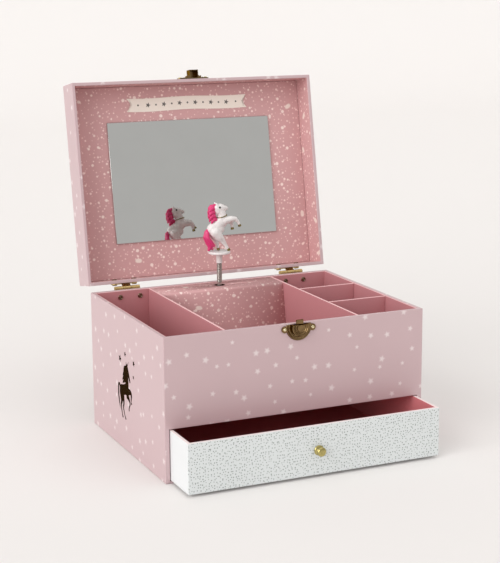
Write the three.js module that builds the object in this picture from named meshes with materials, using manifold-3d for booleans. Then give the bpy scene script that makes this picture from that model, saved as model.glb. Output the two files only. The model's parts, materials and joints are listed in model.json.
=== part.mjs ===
// Wind-up musical jewellery box: paper-covered board carcass with tray and drawer, hinged mirror lid,
// eighteen-note movement and a figure that turns on a flexible spring neck.
// Millimetres. +X right, +Y towards the hinges, +Z up. Origin: centre of the underside.

import * as THREE from 'three';
import { mergeVertices } from 'three/addons/utils/BufferGeometryUtils.js';
import Module from 'manifold-3d';

const wasm = await Module();
wasm.setup();

// ---- Driving dimensions ----

// Carcass
const BOX_WIDTH = 240;
const BOX_DEPTH = 185;
const BODY_HEIGHT = 123.4;
const WALL = 4;
const BASE_BOARD = 2;
const DECK_BOARD = 2.5;
const GLUE_LINE = 0.1;          // between boards that are glued together
const FIT_GAP = 0.3;            // between fittings and what they are fixed to
const CUT_MARGIN = 1;           // how far a hole is cut past the surfaces it goes through
const LAP = 0.5;                // how deep joined shapes run into each other

// Facets round a circle
const SMALL_FACETS = 12;
const MIDDLE_FACETS = 20;
const LARGE_FACETS = 32;

// Tray
const DIVIDER = 2;
const DIVIDER_DROP = 0.6;       // divider tops below the rim
const LEFT_BAY_WIDTH = 50.3;
const RIGHT_BAY_WIDTH = 56.3;
const REAR_CELL_DEPTH = 59.5;
const MIDDLE_CELL_DEPTH = 58;

// Cover over the movement
const LEDGE_BOARD = 1.5;
const LEDGE_DROP = 0.8;
const LEDGE_DEPTH = 29;
const COVER_LEAN = 12.7;        // how far the foot of the front card stands out
const SPINDLE_HOLE_RADIUS = 4.8;

// Lid
const LID_HEIGHT = 27.5;
const LID_BOARD = 2.4;
const LID_WALL = 3;
const LID_SEAM = 0.3;
const LID_OPEN_DEGREES = 100.3;
const LINING = 0.8;
const MIRROR_WIDTH = 165;
const MIRROR_HEIGHT = 113.5;
const MIRROR_THICKNESS = 1.5;
const MIRROR_FROM_HINGE_EDGE = 35.5;
const BANNER_WIDTH = 122;
const BANNER_HEIGHT = 12.5;
const BANNER_NOTCH = 5;
const BANNER_CARD = 0.4;
const BANNER_FROM_HINGE_EDGE = 158.2;

// Drawer
const DRAWER_FRONT_HEIGHT = 42.7;
const DRAWER_BOARD = 3;
const DRAWER_BOTTOM = 1.8;
const DRAWER_SIDE_CLEARANCE = 0.65;
const DRAWER_FLOOR_CLEARANCE = 0.4;
const DRAWER_TOP_CLEARANCE = 0.8;
const DRAWER_END_CLEARANCE = 1;
const DRAWER_PULL = 38.6;       // how far the drawer stands open
const KNOB_RADIUS = 6;
const KNOB_LENGTH = 7.5;
const KNOB_SCREW_RADIUS = 1.5;
const KNOB_SCREW_HEAD = 1.6;
const KNOB_TIP_WALL = 2.5;      // solid brass between the tip and the screw
const KNOB_FOOT = 0.8;
// The knob from its tip: share of its radius, distance from the tip
const KNOB_OUTLINE = [[0.55, 0.5], [0.9, 1.6], [1, 3], [0.85, 4.4], [0.5, 5.2]];
const KNOB_FOOT_SHARE = 0.7;

// Hinges
const HINGE_X = 83.5;
const HINGE_WIDTH = 24;
const HINGE_LEAF = 0.8;
const LEAF_REACH = 12.5;        // from the pin to the far edge of the leaf
const LEAF_BEND = 3.4;          // from the pin to where the leaf bends out
const PIN_BEHIND = 4.5;         // pin axis behind the back wall
const PIN_RADIUS = 0.8;
const KNUCKLE_RADIUS = 2;
const PIN_CLEARANCE = 0.2;
const RIVET_X = 9.5;            // from the middle of the hinge
const RIVET_FROM_RIM = 6.4;
const RIVET_RADIUS = 1.5;
const RIVET_BORE = 0.9;
const RIVET_HEAD_RADIUS = 2.4;
const RIVET_HEAD = 0.6;
const WEB_NEAR = 0.3;           // where the leaf runs into the knuckle, in knuckle radii
const WEB_FAR = 0.85;

// Catch
const CATCH_RADIUS = 11.5;
const CATCH_PLATE = 0.8;
const CATCH_CENTRE_DROP = 3.6;  // centre of the half-moon below the rim
const CATCH_EDGE_DROP = 1.1;    // straight edge below the rim
const CATCH_EAR_X = 12.8;
const CATCH_EAR_RADIUS = 2.9;
const BOSS_RADIUS = 7.5;
const BOSS_DEPTH = 3.6;
const BOSS_WALL = 0.8;
const RING_STEP = 0.5;
const MIDDLE_RING = 0.68;       // radii of the raised rings, in boss radii
const INNER_RING = 0.34;
const EAR_ARM_HALF = 1.5;
const TONGUE_WIDTH = 6.6;
const TONGUE_THICKNESS = 0.8;
const TONGUE_RISE = 3.1;        // tongue tip above the rim
const TONGUE_PIVOT_DROP = 6.4;
const TONGUE_LIP = 0.6;
const TONGUE_LIP_HEIGHT = 1.2;
const BARREL_WALL = 0.4;
const CATCH_PIN_RADIUS = 0.5;
const HASP_DEPTH = 7.4;
const HASP_HEIGHT = 7.5;
const HASP_WALL = 0.7;
const NAIL_HEAD_RADIUS = 1.6;
const NAIL_RADIUS = 0.7;
const NAIL_LENGTH = 2;
const NAIL_HEAD = 1;
const NAIL_DROP = 1.3;          // nails beyond the centre of the half-moon

// Movement
const SPINDLE_FROM_WALL = 12.5;
const MOVEMENT_BELOW_LEDGE = 8.7;
const BEDPLATE = 2;
const LUG = 2.5;
const LUG_HALF_WIDTH = 2.25;
const LUG_NOSE = 3;             // lug beyond the arbor it carries
const BEARING_CLEARANCE = 0.2;
const ARBOR_RADIUS = 1.2;
const ARBOR_STUB = 4;           // arbor above the top lug
const PIVOT_RADIUS = 0.8;       // of the two governor arbors
const AXIAL_PLAY = 0.5;
const DRUM_RADIUS = 6;
const DRUM_LENGTH = 18;
const NOTES = 18;
const COMB_THICKNESS = 0.8;
const COMB_TOOTH_LENGTH = 15.5;
const COMB_BASE_LENGTH = 10;
const COMB_STAND_OFF = 0.5;     // tooth tips from the drum
const COMB_SLOT = 0.24;         // gap between teeth, in tooth pitches
const CROWN_RADIUS = 14;
const CROWN_TEETH = 30;
const CROWN_DISC = 1.5;
const CROWN_TOOTH_SPAN = 2.4;
const DRUM_PINION_TEETH = 10;
const DRUM_PINION_WIDTH = 3.5;
const SPUR_MODULE = 0.6;
const DRUM_GEAR_TEETH = 24;
const GOVERNOR_PINION_TEETH = 10;
const SPUR_WIDTH = 2.2;
const WORM_WHEEL_TEETH = 20;
const WORM_WHEEL_RADIUS = 6;
const WORM_WHEEL_WIDTH = 1.2;
const WORM_STARTS = 2;
const WORM_RADIUS = 1.8;
const WORM_LENGTH = 7;
const WORM_CORE_RADIUS = 1.25;
const THREAD_RADIUS = 0.42;
const THREAD_DROP = 0.3;        // thread centre inside the worm radius
const THREAD_STEPS = 10;        // facets in a turn
const THREAD_SIDES = 4;
const FAN_SPAN = 8.4;
const FAN_WIDTH = 6.4;
const FAN_THICKNESS = 0.8;
const GOVERNOR_LUG_BELOW = 4;   // lug under the drum gear
const GOVERNOR_LUG_ABOVE = 2;   // lug over the worm
const FRONT_LUG_REACH = 15;     // front fan bearing before the spindle
const FRONT_LUG = 1.6;
const ARM_THICKNESS = 2;
const ARM_HALF_HEIGHT = 2;
const ARM_FROM_FAN = 1;
// Tooth forms: below and above the pitch circle, width at the root and at the tip
const SPUR_TOOTH = [1.15 * SPUR_MODULE, 0.9 * SPUR_MODULE, 1.7 * SPUR_MODULE, 0.7 * SPUR_MODULE];
const PINION_TOOTH = [1.05, 0.85, 1.5, 0.6];
const WORM_WHEEL_TOOTH = [0.65, 0.5, 0.85, 0.4];
const CROWN_TOOTH = [1.5, 0.8, 1.6, 0.6];
const HOUSING_RADIUS = 10.5;
const HOUSING_DEPTH = 9;
const HOUSING_WALL = 0.8;
const HOUSING_FROM_WHEEL = 2;
const BRIDGE_THICKNESS = 1.6;
const BRIDGE_HALF_WIDTH = 3;
const POST_RADIUS = 1.6;
const POST_FROM_WHEEL = 3;
const MAINSPRING_TURNS = 5;
const MAINSPRING_THICKNESS = 0.35;
const MAINSPRING_START = 0.9;   // first turn from the arbor
const MAINSPRING_END = 0.4;     // last turn from the housing
const MAINSPRING_SIDE_GAP = 0.6;
const MAINSPRING_STEPS = 12;    // facets in a turn
const WINDING_ARBOR_RADIUS = 2.2;
const KEY_BOSS_RADIUS = 3.6;
const KEY_BOSS_LENGTH = 8;
const KEY_BORE_DEPTH = 4.8;
const KEY_WING_RADIUS = 6.5;
const KEY_WING_THICKNESS = 2.2;
const KEY_WING_OUT = 0.85;      // wing centres from the axis, in wing radii
const KEY_WING_BACK = 0.6;      // and behind the boss
const KEY_STAND_OFF = 1.2;
const ARBOR_WALL_HOLE_RADIUS = 4;

// Figure on its spring
const SPINDLE_RADIUS = 2.4;
const SPINDLE_RISE = 0.5;       // above the rim
const NECK_WIRE_RADIUS = 0.42;
const NECK_COIL_RADIUS = 2.02;
const NECK_COILS = 17;
const NECK_STEPS = 7;           // facets in a coil
const NECK_WIRE_SIDES = 5;
const NECK_FROM_RIM = 1.5;
const NECK_TOP = 19.7;
const SOCKET_RADIUS = 3;
const SOCKET_TAPER = 0.3;
const SOCKET_FLARE = 1;
const SOCKET_BOTTOM = 20;
const STAND_BOTTOM = 28.8;
const STAND_TOP = 31.5;
const STAND_RADIUS = 10.7;
const STAND_EDGE = 0.4;
const STANDING_GAP = 0.3;
const JOINT_FULLNESS = 1.06;    // joint balls against the limbs they join
const LIMB_SIDES = 6;

// ---- Derived places ----

const halfWidth = BOX_WIDTH / 2;
const halfDepth = BOX_DEPTH / 2;
const innerX = halfWidth - WALL;
const backWallY = halfDepth - WALL;
const frontWallY = -backWallY;
const deckBottom = BASE_BOARD + DRAWER_FLOOR_CLEARANCE + DRAWER_FRONT_HEIGHT + DRAWER_TOP_CLEARANCE;
const deckTop = deckBottom + DECK_BOARD;
const leftDividerX = -innerX + LEFT_BAY_WIDTH;
const rightDividerX = innerX - RIGHT_BAY_WIDTH;
const dividerTop = BODY_HEIGHT - DIVIDER_DROP;
const ledgeTop = BODY_HEIGHT - LEDGE_DROP;
const ledgeUnder = ledgeTop - LEDGE_BOARD;
const ledgeFrontY = backWallY - LEDGE_DEPTH;
const pinY = halfDepth + PIN_BEHIND;
const pinZ = BODY_HEIGHT + LID_SEAM / 2;
const lidBottom = BODY_HEIGHT + LID_SEAM;
const lidTop = lidBottom + LID_HEIGHT;
const liningUnder = lidTop - LID_BOARD - FIT_GAP - LINING;
const drawerHalfWidth = innerX - DRAWER_SIDE_CLEARANCE;
const drawerFloor = BASE_BOARD + DRAWER_FLOOR_CLEARANCE;
const drawerTop = drawerFloor + DRAWER_FRONT_HEIGHT;
const drawerBackY = backWallY - DRAWER_END_CLEARANCE;
const spindleY = backWallY - SPINDLE_FROM_WALL;
const bedplateFrontY = backWallY - FIT_GAP - BEDPLATE;
const topLugTop = ledgeUnder - MOVEMENT_BELOW_LEDGE;
const drumTop = topLugTop - LUG - AXIAL_PLAY;
const drumBottom = drumTop - SPUR_WIDTH - DRUM_LENGTH;
const lowLugBottom = drumBottom - AXIAL_PLAY - LUG;
const pinionTop = lowLugBottom - AXIAL_PLAY;
const pinionBottom = pinionTop - DRUM_PINION_WIDTH;
const crownZ = (pinionTop + pinionBottom) / 2 - CROWN_RADIUS;
const crownOuter = CROWN_RADIUS + CROWN_TOOTH_SPAN / 2;
const pinionPitch = CROWN_RADIUS * DRUM_PINION_TEETH / CROWN_TEETH;
const housingFrontY = spindleY + pinionPitch - HOUSING_FROM_WHEEL - HOUSING_DEPTH;
const governorX = SPUR_MODULE * (DRUM_GEAR_TEETH + GOVERNOR_PINION_TEETH) / 2;
const wormX = governorX + WORM_WHEEL_RADIUS + WORM_RADIUS;
const wormZ = topLugTop - AXIAL_PLAY;
const wormLead = WORM_STARTS * 2 * Math.PI * WORM_WHEEL_RADIUS / WORM_WHEEL_TEETH;
const frontLugY = spindleY - FRONT_LUG_REACH;
const governorLugZ = [drumTop - SPUR_WIDTH - GOVERNOR_LUG_BELOW, wormZ + GOVERNOR_LUG_ABOVE];

// ---- Solid helpers ----

function closed(geometry) {
  const plain = geometry.clone();
  plain.deleteAttribute('normal');
  plain.deleteAttribute('uv');
  const merged = mergeVertices(plain, 1e-4);
  const kept = [];
  const corners = merged.index.array;
  for (let i = 0; i < corners.length; i += 3) {
    const [a, b, c] = [corners[i], corners[i + 1], corners[i + 2]];
    if (a !== b && b !== c && c !== a) kept.push(a, b, c);
  }
  merged.setIndex(kept);
  return merged;
}

function toSolid(geometry) {
  const shell = closed(geometry);
  const vertProperties = new Float32Array(shell.attributes.position.array);
  const triVerts = new Uint32Array(shell.index.array);
  return new wasm.Manifold(new wasm.Mesh({ numProp: 3, vertProperties, triVerts }));
}

function toGeometry(solid) {
  const mesh = solid.getMesh();
  const geometry = new THREE.BufferGeometry();
  geometry.setAttribute('position', new THREE.BufferAttribute(new Float32Array(mesh.vertProperties), 3));
  geometry.setIndex(new THREE.BufferAttribute(new Uint32Array(mesh.triVerts), 1));
  return geometry;
}

function join(...geometries) {
  return toGeometry(geometries.map(toSolid).reduce((sum, next) => sum.add(next)));
}

function cut(geometry, ...tools) {
  return toGeometry(tools.map(toSolid).reduce((rest, tool) => rest.subtract(tool), toSolid(geometry)));
}

function slab([x0, x1], [y0, y1], [z0, z1]) {
  const geometry = new THREE.BoxGeometry(x1 - x0, y1 - y0, z1 - z0);
  return geometry.translate((x0 + x1) / 2, (y0 + y1) / 2, (z0 + z1) / 2);
}

function outline(points, hole = null) {
  const shape = new THREE.Shape(points.map(([x, y]) => new THREE.Vector2(x, y)));
  if (hole) shape.holes.push(hole);
  return shape;
}

function circlePath(x, y, radius) {
  return new THREE.Path().absarc(x, y, radius, 0, Math.PI * 2, false);
}

function prismZ(shape, z0, z1, curveSegments = 12) {
  const geometry = new THREE.ExtrudeGeometry(shape, { depth: z1 - z0, bevelEnabled: false, curveSegments });
  return geometry.translate(0, 0, z0);
}

// The shape lies in the YZ plane and runs along X.
function prismX(shape, x0, x1, curveSegments = 12) {
  const turn = new THREE.Matrix4().makeBasis(
    new THREE.Vector3(0, 1, 0), new THREE.Vector3(0, 0, 1), new THREE.Vector3(1, 0, 0));
  return prismZ(shape, x0, x1, curveSegments).applyMatrix4(turn);
}

// The shape lies in the XZ plane and runs along Y.
function prismY(shape, y0, y1, curveSegments = 12) {
  const turn = new THREE.Matrix4().makeBasis(
    new THREE.Vector3(1, 0, 0), new THREE.Vector3(0, 0, 1), new THREE.Vector3(0, -1, 0));
  return prismZ(shape, -y1, -y0, curveSegments).applyMatrix4(turn);
}

function rodX(y, z, radius, x0, x1, sides = 16) {
  const geometry = new THREE.CylinderGeometry(radius, radius, x1 - x0, sides).rotateZ(Math.PI / 2);
  return geometry.translate((x0 + x1) / 2, y, z);
}

function rodY(x, z, radius, y0, y1, sides = 16) {
  const geometry = new THREE.CylinderGeometry(radius, radius, y1 - y0, sides);
  return geometry.translate(x, (y0 + y1) / 2, z);
}

function rodZ(x, y, radius, z0, z1, sides = 16) {
  const geometry = new THREE.CylinderGeometry(radius, radius, z1 - z0, sides).rotateX(Math.PI / 2);
  return geometry.translate(x, y, (z0 + z1) / 2);
}

// Profiles are [radius, height] pairs, from the bottom up on the outside.
function turned(profile, segments = 16) {
  return new THREE.LatheGeometry(profile.map(([r, h]) => new THREE.Vector2(r, h)), segments);
}

function paint(color, roughness, metalness = 0) {
  return new THREE.MeshStandardMaterial({ color, roughness, metalness });
}

function part(name, geometry, material) {
  const mesh = new THREE.Mesh(closed(geometry), material);
  mesh.name = name;
  return mesh;
}

const finish = {
  starPaper: () => paint(0xdcc3c6, 0.75),
  liningPaper: () => paint(0xc08b8b, 0.8),
  rosePaper: () => paint(0xa5646a, 0.85),
  whitePaper: () => paint(0xe6e6e3, 0.75),
  goldSteel: () => paint(0xcdb47d, 0.35, 1),
  agedBrass: () => paint(0x6e5f32, 0.45, 1),
  brass: () => paint(0xd8b45a, 0.3, 1),
  steel: () => paint(0x9a948c, 0.4, 1),
  zinc: () => paint(0x8d8f90, 0.5, 1),
  whitePlastic: () => paint(0xefeceb, 0.4),
  mirror: () => paint(0xa8aca8, 0.05, 1),
  cream: () => paint(0xf2e6d8, 0.8),
};

const musicBox = new THREE.Group();
const lid = new THREE.Group();
const drawer = new THREE.Group();

// ---- Carcass ----

function basePanel() {
  const x = innerX - GLUE_LINE;
  const board = slab([-x, x], [-halfDepth, backWallY - GLUE_LINE], [0, BASE_BOARD]);
  return part('base_panel', board, finish.rosePaper());
}

function sidePanel(name, side) {
  const x = [side * innerX, side * halfWidth].sort((a, b) => a - b);
  return part(name, slab(x, [-halfDepth, halfDepth], [0, BODY_HEIGHT]), finish.starPaper());
}

function backPanel() {
  const x = innerX - GLUE_LINE;
  const board = slab([-x, x], [backWallY, halfDepth], [0, BODY_HEIGHT]);
  const through = [backWallY - CUT_MARGIN, halfDepth + CUT_MARGIN];
  const holes = rivetPlaces().map((rivetX) => (
    rodY(rivetX, BODY_HEIGHT - RIVET_FROM_RIM, RIVET_RADIUS + FIT_GAP, ...through, SMALL_FACETS)));
  const arborHole = rodY(0, crownZ, ARBOR_WALL_HOLE_RADIUS, ...through, MIDDLE_FACETS);
  return part('back_panel', cut(board, arborHole, ...holes), finish.starPaper());
}

function frontPanel() {
  const x = innerX - GLUE_LINE;
  const board = slab([-x, x], [-halfDepth, frontWallY], [deckBottom, BODY_HEIGHT]);
  const holes = [-CATCH_EAR_X, CATCH_EAR_X].map((nailX) => (
    rodY(nailX, BODY_HEIGHT - CATCH_CENTRE_DROP - NAIL_DROP, NAIL_RADIUS + FIT_GAP,
      -halfDepth - CUT_MARGIN, -halfDepth + NAIL_LENGTH + FIT_GAP, SMALL_FACETS)));
  return part('front_panel', cut(board, ...holes), finish.starPaper());
}

function drawerDeck() {
  const x = innerX - GLUE_LINE;
  const y = [frontWallY + GLUE_LINE, backWallY - GLUE_LINE];
  return part('drawer_deck', slab([-x, x], y, [deckBottom, deckTop]), finish.rosePaper());
}

function trayDividers() {
  const y = [frontWallY + GLUE_LINE, backWallY - GLUE_LINE];
  const z = [deckTop + GLUE_LINE, dividerTop];
  const rearY = backWallY - REAR_CELL_DEPTH;
  const middleY = rearY - DIVIDER - MIDDLE_CELL_DEPTH;
  const crossX = [rightDividerX + GLUE_LINE, innerX - GLUE_LINE];
  return [
    part('left_divider', slab([leftDividerX, leftDividerX + DIVIDER], y, z), finish.rosePaper()),
    part('right_divider', slab([rightDividerX - DIVIDER, rightDividerX], y, z), finish.rosePaper()),
    part('rear_cross_divider', slab(crossX, [rearY - DIVIDER, rearY], z), finish.rosePaper()),
    part('front_cross_divider', slab(crossX, [middleY - DIVIDER, middleY], z), finish.rosePaper()),
  ];
}

function movementCover() {
  const x = [leftDividerX + DIVIDER + GLUE_LINE, rightDividerX - DIVIDER - GLUE_LINE];
  const ledge = slab(x, [ledgeFrontY, backWallY - GLUE_LINE], [ledgeUnder, ledgeTop]);
  const hole = rodZ(0, spindleY, SPINDLE_HOLE_RADIUS, ledgeUnder - CUT_MARGIN, ledgeTop + CUT_MARGIN,
    LARGE_FACETS);
  const foot = ledgeFrontY - COVER_LEAN;
  const card = outline([
    [foot, deckTop + GLUE_LINE],
    [foot + LEDGE_BOARD, deckTop + GLUE_LINE],
    [ledgeFrontY + LEDGE_BOARD, ledgeUnder - GLUE_LINE],
    [ledgeFrontY, ledgeUnder - GLUE_LINE],
  ]);
  return [
    part('movement_cover_top', cut(ledge, hole), finish.liningPaper()),
    part('movement_cover_front', prismX(card, ...x), finish.liningPaper()),
  ];
}

// ---- Hinges ----

function rivetPlaces() {
  return [-1, 1].flatMap((side) => [-RIVET_X, RIVET_X].map((x) => side * HINGE_X + x));
}

// up is -1 for the leaf on the body and +1 for the leaf on the lid.
function hingeLeaf(name, centreX, up) {
  const plateY = halfDepth + FIT_GAP;
  const edge = pinZ + up * LEAF_REACH;
  const bend = pinZ + up * LEAF_BEND;
  const plate = slab([centreX - HINGE_WIDTH / 2, centreX + HINGE_WIDTH / 2], [plateY, plateY + HINGE_LEAF],
    [Math.min(edge, bend), Math.max(edge, bend)]);
  const ring = new THREE.Shape().absarc(pinY, pinZ, KNUCKLE_RADIUS, 0, Math.PI * 2, false);
  ring.holes.push(circlePath(pinY, pinZ, PIN_RADIUS + PIN_CLEARANCE));
  const web = outline([
    [plateY, bend + up * LAP],
    [plateY + HINGE_LEAF, bend + up * LAP],
    [pinY - KNUCKLE_RADIUS * WEB_NEAR, pinZ + up * KNUCKLE_RADIUS * WEB_FAR],
    [pinY - KNUCKLE_RADIUS * WEB_FAR, pinZ + up * KNUCKLE_RADIUS * WEB_NEAR],
    [plateY, bend - up * 2 * LAP],
  ]);
  const middleHalf = HINGE_WIDTH / 6;
  const spans = up < 0
    ? [[-HINGE_WIDTH / 2, -middleHalf - FIT_GAP], [middleHalf + FIT_GAP, HINGE_WIDTH / 2]]
    : [[-middleHalf, middleHalf]];
  const knuckles = spans.flatMap(([a, b]) => [
    prismX(ring, centreX + a, centreX + b, MIDDLE_FACETS / 2),
    prismX(web, centreX + a, centreX + b),
  ]);
  const rivetZ = up < 0 ? BODY_HEIGHT - RIVET_FROM_RIM : lidBottom + RIVET_FROM_RIM;
  const through = [plateY - CUT_MARGIN, plateY + HINGE_LEAF + CUT_MARGIN];
  const holes = [-RIVET_X, RIVET_X].map((x) => (
    rodY(centreX + x, rivetZ, RIVET_RADIUS + FIT_GAP, ...through, SMALL_FACETS)));
  return part(name, cut(join(plate, ...knuckles), ...holes), finish.goldSteel());
}

function hingePin(name, centreX) {
  const half = HINGE_WIDTH / 2 + FIT_GAP;
  const pin = rodX(pinY, pinZ, PIN_RADIUS, centreX - half, centreX + half, SMALL_FACETS);
  return part(name, pin, finish.goldSteel());
}

// A hollow rivet that grips from y0 to y1 between its two flanges.
function rivet(name, x, z, y0, y1) {
  const profile = [
    [RIVET_BORE, y0 - RIVET_HEAD],
    [RIVET_HEAD_RADIUS, y0 - RIVET_HEAD],
    [RIVET_HEAD_RADIUS, y0],
    [RIVET_RADIUS, y0],
    [RIVET_RADIUS, y1],
    [RIVET_HEAD_RADIUS, y1],
    [RIVET_HEAD_RADIUS, y1 + RIVET_HEAD],
    [RIVET_BORE, y1 + RIVET_HEAD],
    [RIVET_BORE, y0 - RIVET_HEAD],
  ];
  return part(name, turned(profile, SMALL_FACETS).translate(x, 0, z), finish.goldSteel());
}

function hinges() {
  const outside = halfDepth + FIT_GAP + HINGE_LEAF + FIT_GAP;
  for (const [side, word] of [[-1, 'left'], [1, 'right']]) {
    const x = side * HINGE_X;
    musicBox.add(hingeLeaf(`${word}_hinge_body_leaf`, x, -1));
    musicBox.add(hingePin(`${word}_hinge_pin`, x));
    lid.add(hingeLeaf(`${word}_hinge_lid_leaf`, x, 1));
  }
  rivetPlaces().forEach((x, i) => {
    const bodyRivetZ = BODY_HEIGHT - RIVET_FROM_RIM;
    const lidRivetZ = lidBottom + RIVET_FROM_RIM;
    musicBox.add(rivet(`body_rivet_${i + 1}`, x, bodyRivetZ, backWallY - FIT_GAP, outside));
    lid.add(rivet(`lid_rivet_${i + 1}`, x, lidRivetZ, halfDepth - LID_WALL - FIT_GAP, outside));
  });
}

// ---- Catch ----

// A half-moon plate with two ears and a ringed boss; up is -1 on the body and +1 on the lid.
function halfMoon(up, bossDepth) {
  const rim = up < 0 ? BODY_HEIGHT : lidBottom;
  const centreZ = rim + up * CATCH_CENTRE_DROP;
  const edgeZ = rim + up * CATCH_EDGE_DROP;
  const back = -halfDepth - FIT_GAP;
  const face = back - CATCH_PLATE;
  const bossFace = face - bossDepth;
  const earZ = centreZ + up * NAIL_DROP;
  const pieces = [
    rodY(0, centreZ, CATCH_RADIUS, face, back, LARGE_FACETS),
    rodY(-CATCH_EAR_X, earZ, CATCH_EAR_RADIUS, face, back),
    rodY(CATCH_EAR_X, earZ, CATCH_EAR_RADIUS, face, back),
    slab([-CATCH_EAR_X, CATCH_EAR_X], [face, back], [earZ - EAR_ARM_HALF, earZ + EAR_ARM_HALF]),
    rodY(0, centreZ, BOSS_RADIUS, bossFace, face + GLUE_LINE, MIDDLE_FACETS),
    rodY(0, centreZ, BOSS_RADIUS * MIDDLE_RING, bossFace - RING_STEP, bossFace + GLUE_LINE, MIDDLE_FACETS),
    rodY(0, centreZ, BOSS_RADIUS * INNER_RING, bossFace - 2 * RING_STEP, bossFace, SMALL_FACETS),
  ];
  const beyond = [edgeZ, edgeZ - up * CATCH_RADIUS * 2].sort((a, b) => a - b);
  const through = [face - CUT_MARGIN, back + CUT_MARGIN];
  const tools = [
    slab([-CATCH_RADIUS * 2, CATCH_RADIUS * 2], [bossFace - 2 * RING_STEP - CUT_MARGIN, through[1]], beyond),
    rodY(-CATCH_EAR_X, earZ, NAIL_RADIUS + FIT_GAP, ...through, SMALL_FACETS),
    rodY(CATCH_EAR_X, earZ, NAIL_RADIUS + FIT_GAP, ...through, SMALL_FACETS),
  ];
  return { solid: cut(join(...pieces), ...tools), centreZ, edgeZ, face, bossFace, earZ };
}

function nail(name, x, z, plateFace) {
  const head = plateFace - FIT_GAP;
  const tip = -halfDepth + NAIL_LENGTH;
  const profile = [
    [0, head - NAIL_HEAD],
    [NAIL_HEAD_RADIUS * 0.7, head - NAIL_HEAD * 0.8],
    [NAIL_HEAD_RADIUS, head],
    [NAIL_RADIUS, head],
    [NAIL_RADIUS, tip],
    [0, tip],
  ];
  return part(name, turned(profile, SMALL_FACETS).translate(x, 0, z), finish.brass());
}

function bodyCatch() {
  const moon = halfMoon(-1, BOSS_DEPTH);
  const cavity = rodY(0, moon.centreZ, BOSS_RADIUS - BOSS_WALL, moon.bossFace + BOSS_WALL, moon.face,
    MIDDLE_FACETS);
  const pivotY = (moon.bossFace + BOSS_WALL + moon.face) / 2;
  const pivotZ = BODY_HEIGHT - TONGUE_PIVOT_DROP;
  const tip = BODY_HEIGHT + TONGUE_RISE;
  const barrelHole = CATCH_PIN_RADIUS + PIN_CLEARANCE;
  const foot = pivotZ + barrelHole + BARREL_WALL * 0.4;
  const barrel = new THREE.Shape().absarc(pivotY, pivotZ, barrelHole + BARREL_WALL, 0, Math.PI * 2, false);
  barrel.holes.push(circlePath(pivotY, pivotZ, barrelHole));
  const inner = pivotY + TONGUE_THICKNESS / 4;
  const outer = inner - TONGUE_THICKNESS;
  const tongue = outline([
    [inner, foot],
    [inner, tip],
    [outer, tip],
    [outer - TONGUE_LIP, tip - TONGUE_LIP_HEIGHT],
    [outer, tip - TONGUE_LIP_HEIGHT],
    [outer, foot],
  ]);
  const half = TONGUE_WIDTH / 2;
  const cavityHalf = Math.sqrt((BOSS_RADIUS - BOSS_WALL) ** 2 - (pivotZ - moon.centreZ) ** 2);
  const pinHalf = cavityHalf - FIT_GAP - PIN_CLEARANCE;
  const pin = rodX(pivotY, pivotZ, CATCH_PIN_RADIUS, -pinHalf, pinHalf, SMALL_FACETS);
  const lever = join(prismX(barrel, -half, half, MIDDLE_FACETS / 2), prismX(tongue, -half, half));
  musicBox.add(part('catch_plate', cut(moon.solid, cavity), finish.agedBrass()));
  musicBox.add(part('catch_pin', pin, finish.steel()));
  musicBox.add(part('catch_tongue', lever, finish.agedBrass()));
  musicBox.add(nail('catch_nail_left', -CATCH_EAR_X, moon.earZ, moon.face));
  musicBox.add(nail('catch_nail_right', CATCH_EAR_X, moon.earZ, moon.face));
}

function lidStrike() {
  const moon = halfMoon(1, BOSS_DEPTH / 2);
  const half = TONGUE_WIDTH / 2 + FIT_GAP;
  const hasp = slab([-half - HASP_WALL, half + HASP_WALL], [moon.face - HASP_DEPTH, moon.face + GLUE_LINE],
    [moon.edgeZ, moon.edgeZ + HASP_HEIGHT]);
  const socket = slab([-half, half], [moon.face - HASP_DEPTH + HASP_WALL, moon.face],
    [moon.edgeZ - CUT_MARGIN, moon.edgeZ + HASP_HEIGHT - HASP_WALL]);
  lid.add(part('strike_plate', cut(join(moon.solid, hasp), socket), finish.agedBrass()));
  lid.add(nail('strike_nail_left', -CATCH_EAR_X, moon.earZ, moon.face));
  lid.add(nail('strike_nail_right', CATCH_EAR_X, moon.earZ, moon.face));
}

// ---- Lid, drawn shut ----

function lidRim() {
  const ring = outline([
    [-halfWidth, -halfDepth],
    [halfWidth, -halfDepth],
    [halfWidth, halfDepth],
    [-halfWidth, halfDepth],
  ]);
  const x = halfWidth - LID_WALL;
  const y = halfDepth - LID_WALL;
  const inside = [[-x, -y], [-x, y], [x, y], [x, -y]].map(([a, b]) => new THREE.Vector2(a, b));
  ring.holes.push(new THREE.Path(inside));
  const frame = prismZ(ring, lidBottom, lidTop - LID_BOARD - GLUE_LINE);
  const rivetZ = lidBottom + RIVET_FROM_RIM;
  const nailZ = lidBottom + CATCH_CENTRE_DROP + NAIL_DROP;
  const holes = [
    ...rivetPlaces().map((rivetX) => (
      rodY(rivetX, rivetZ, RIVET_RADIUS + FIT_GAP, y - CUT_MARGIN, halfDepth + CUT_MARGIN, SMALL_FACETS))),
    ...[-CATCH_EAR_X, CATCH_EAR_X].map((nailX) => (
      rodY(nailX, nailZ, NAIL_RADIUS + FIT_GAP, -halfDepth - CUT_MARGIN,
        -halfDepth + NAIL_LENGTH + FIT_GAP, SMALL_FACETS))),
  ];
  return part('lid_rim', cut(frame, ...holes), finish.starPaper());
}

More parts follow.
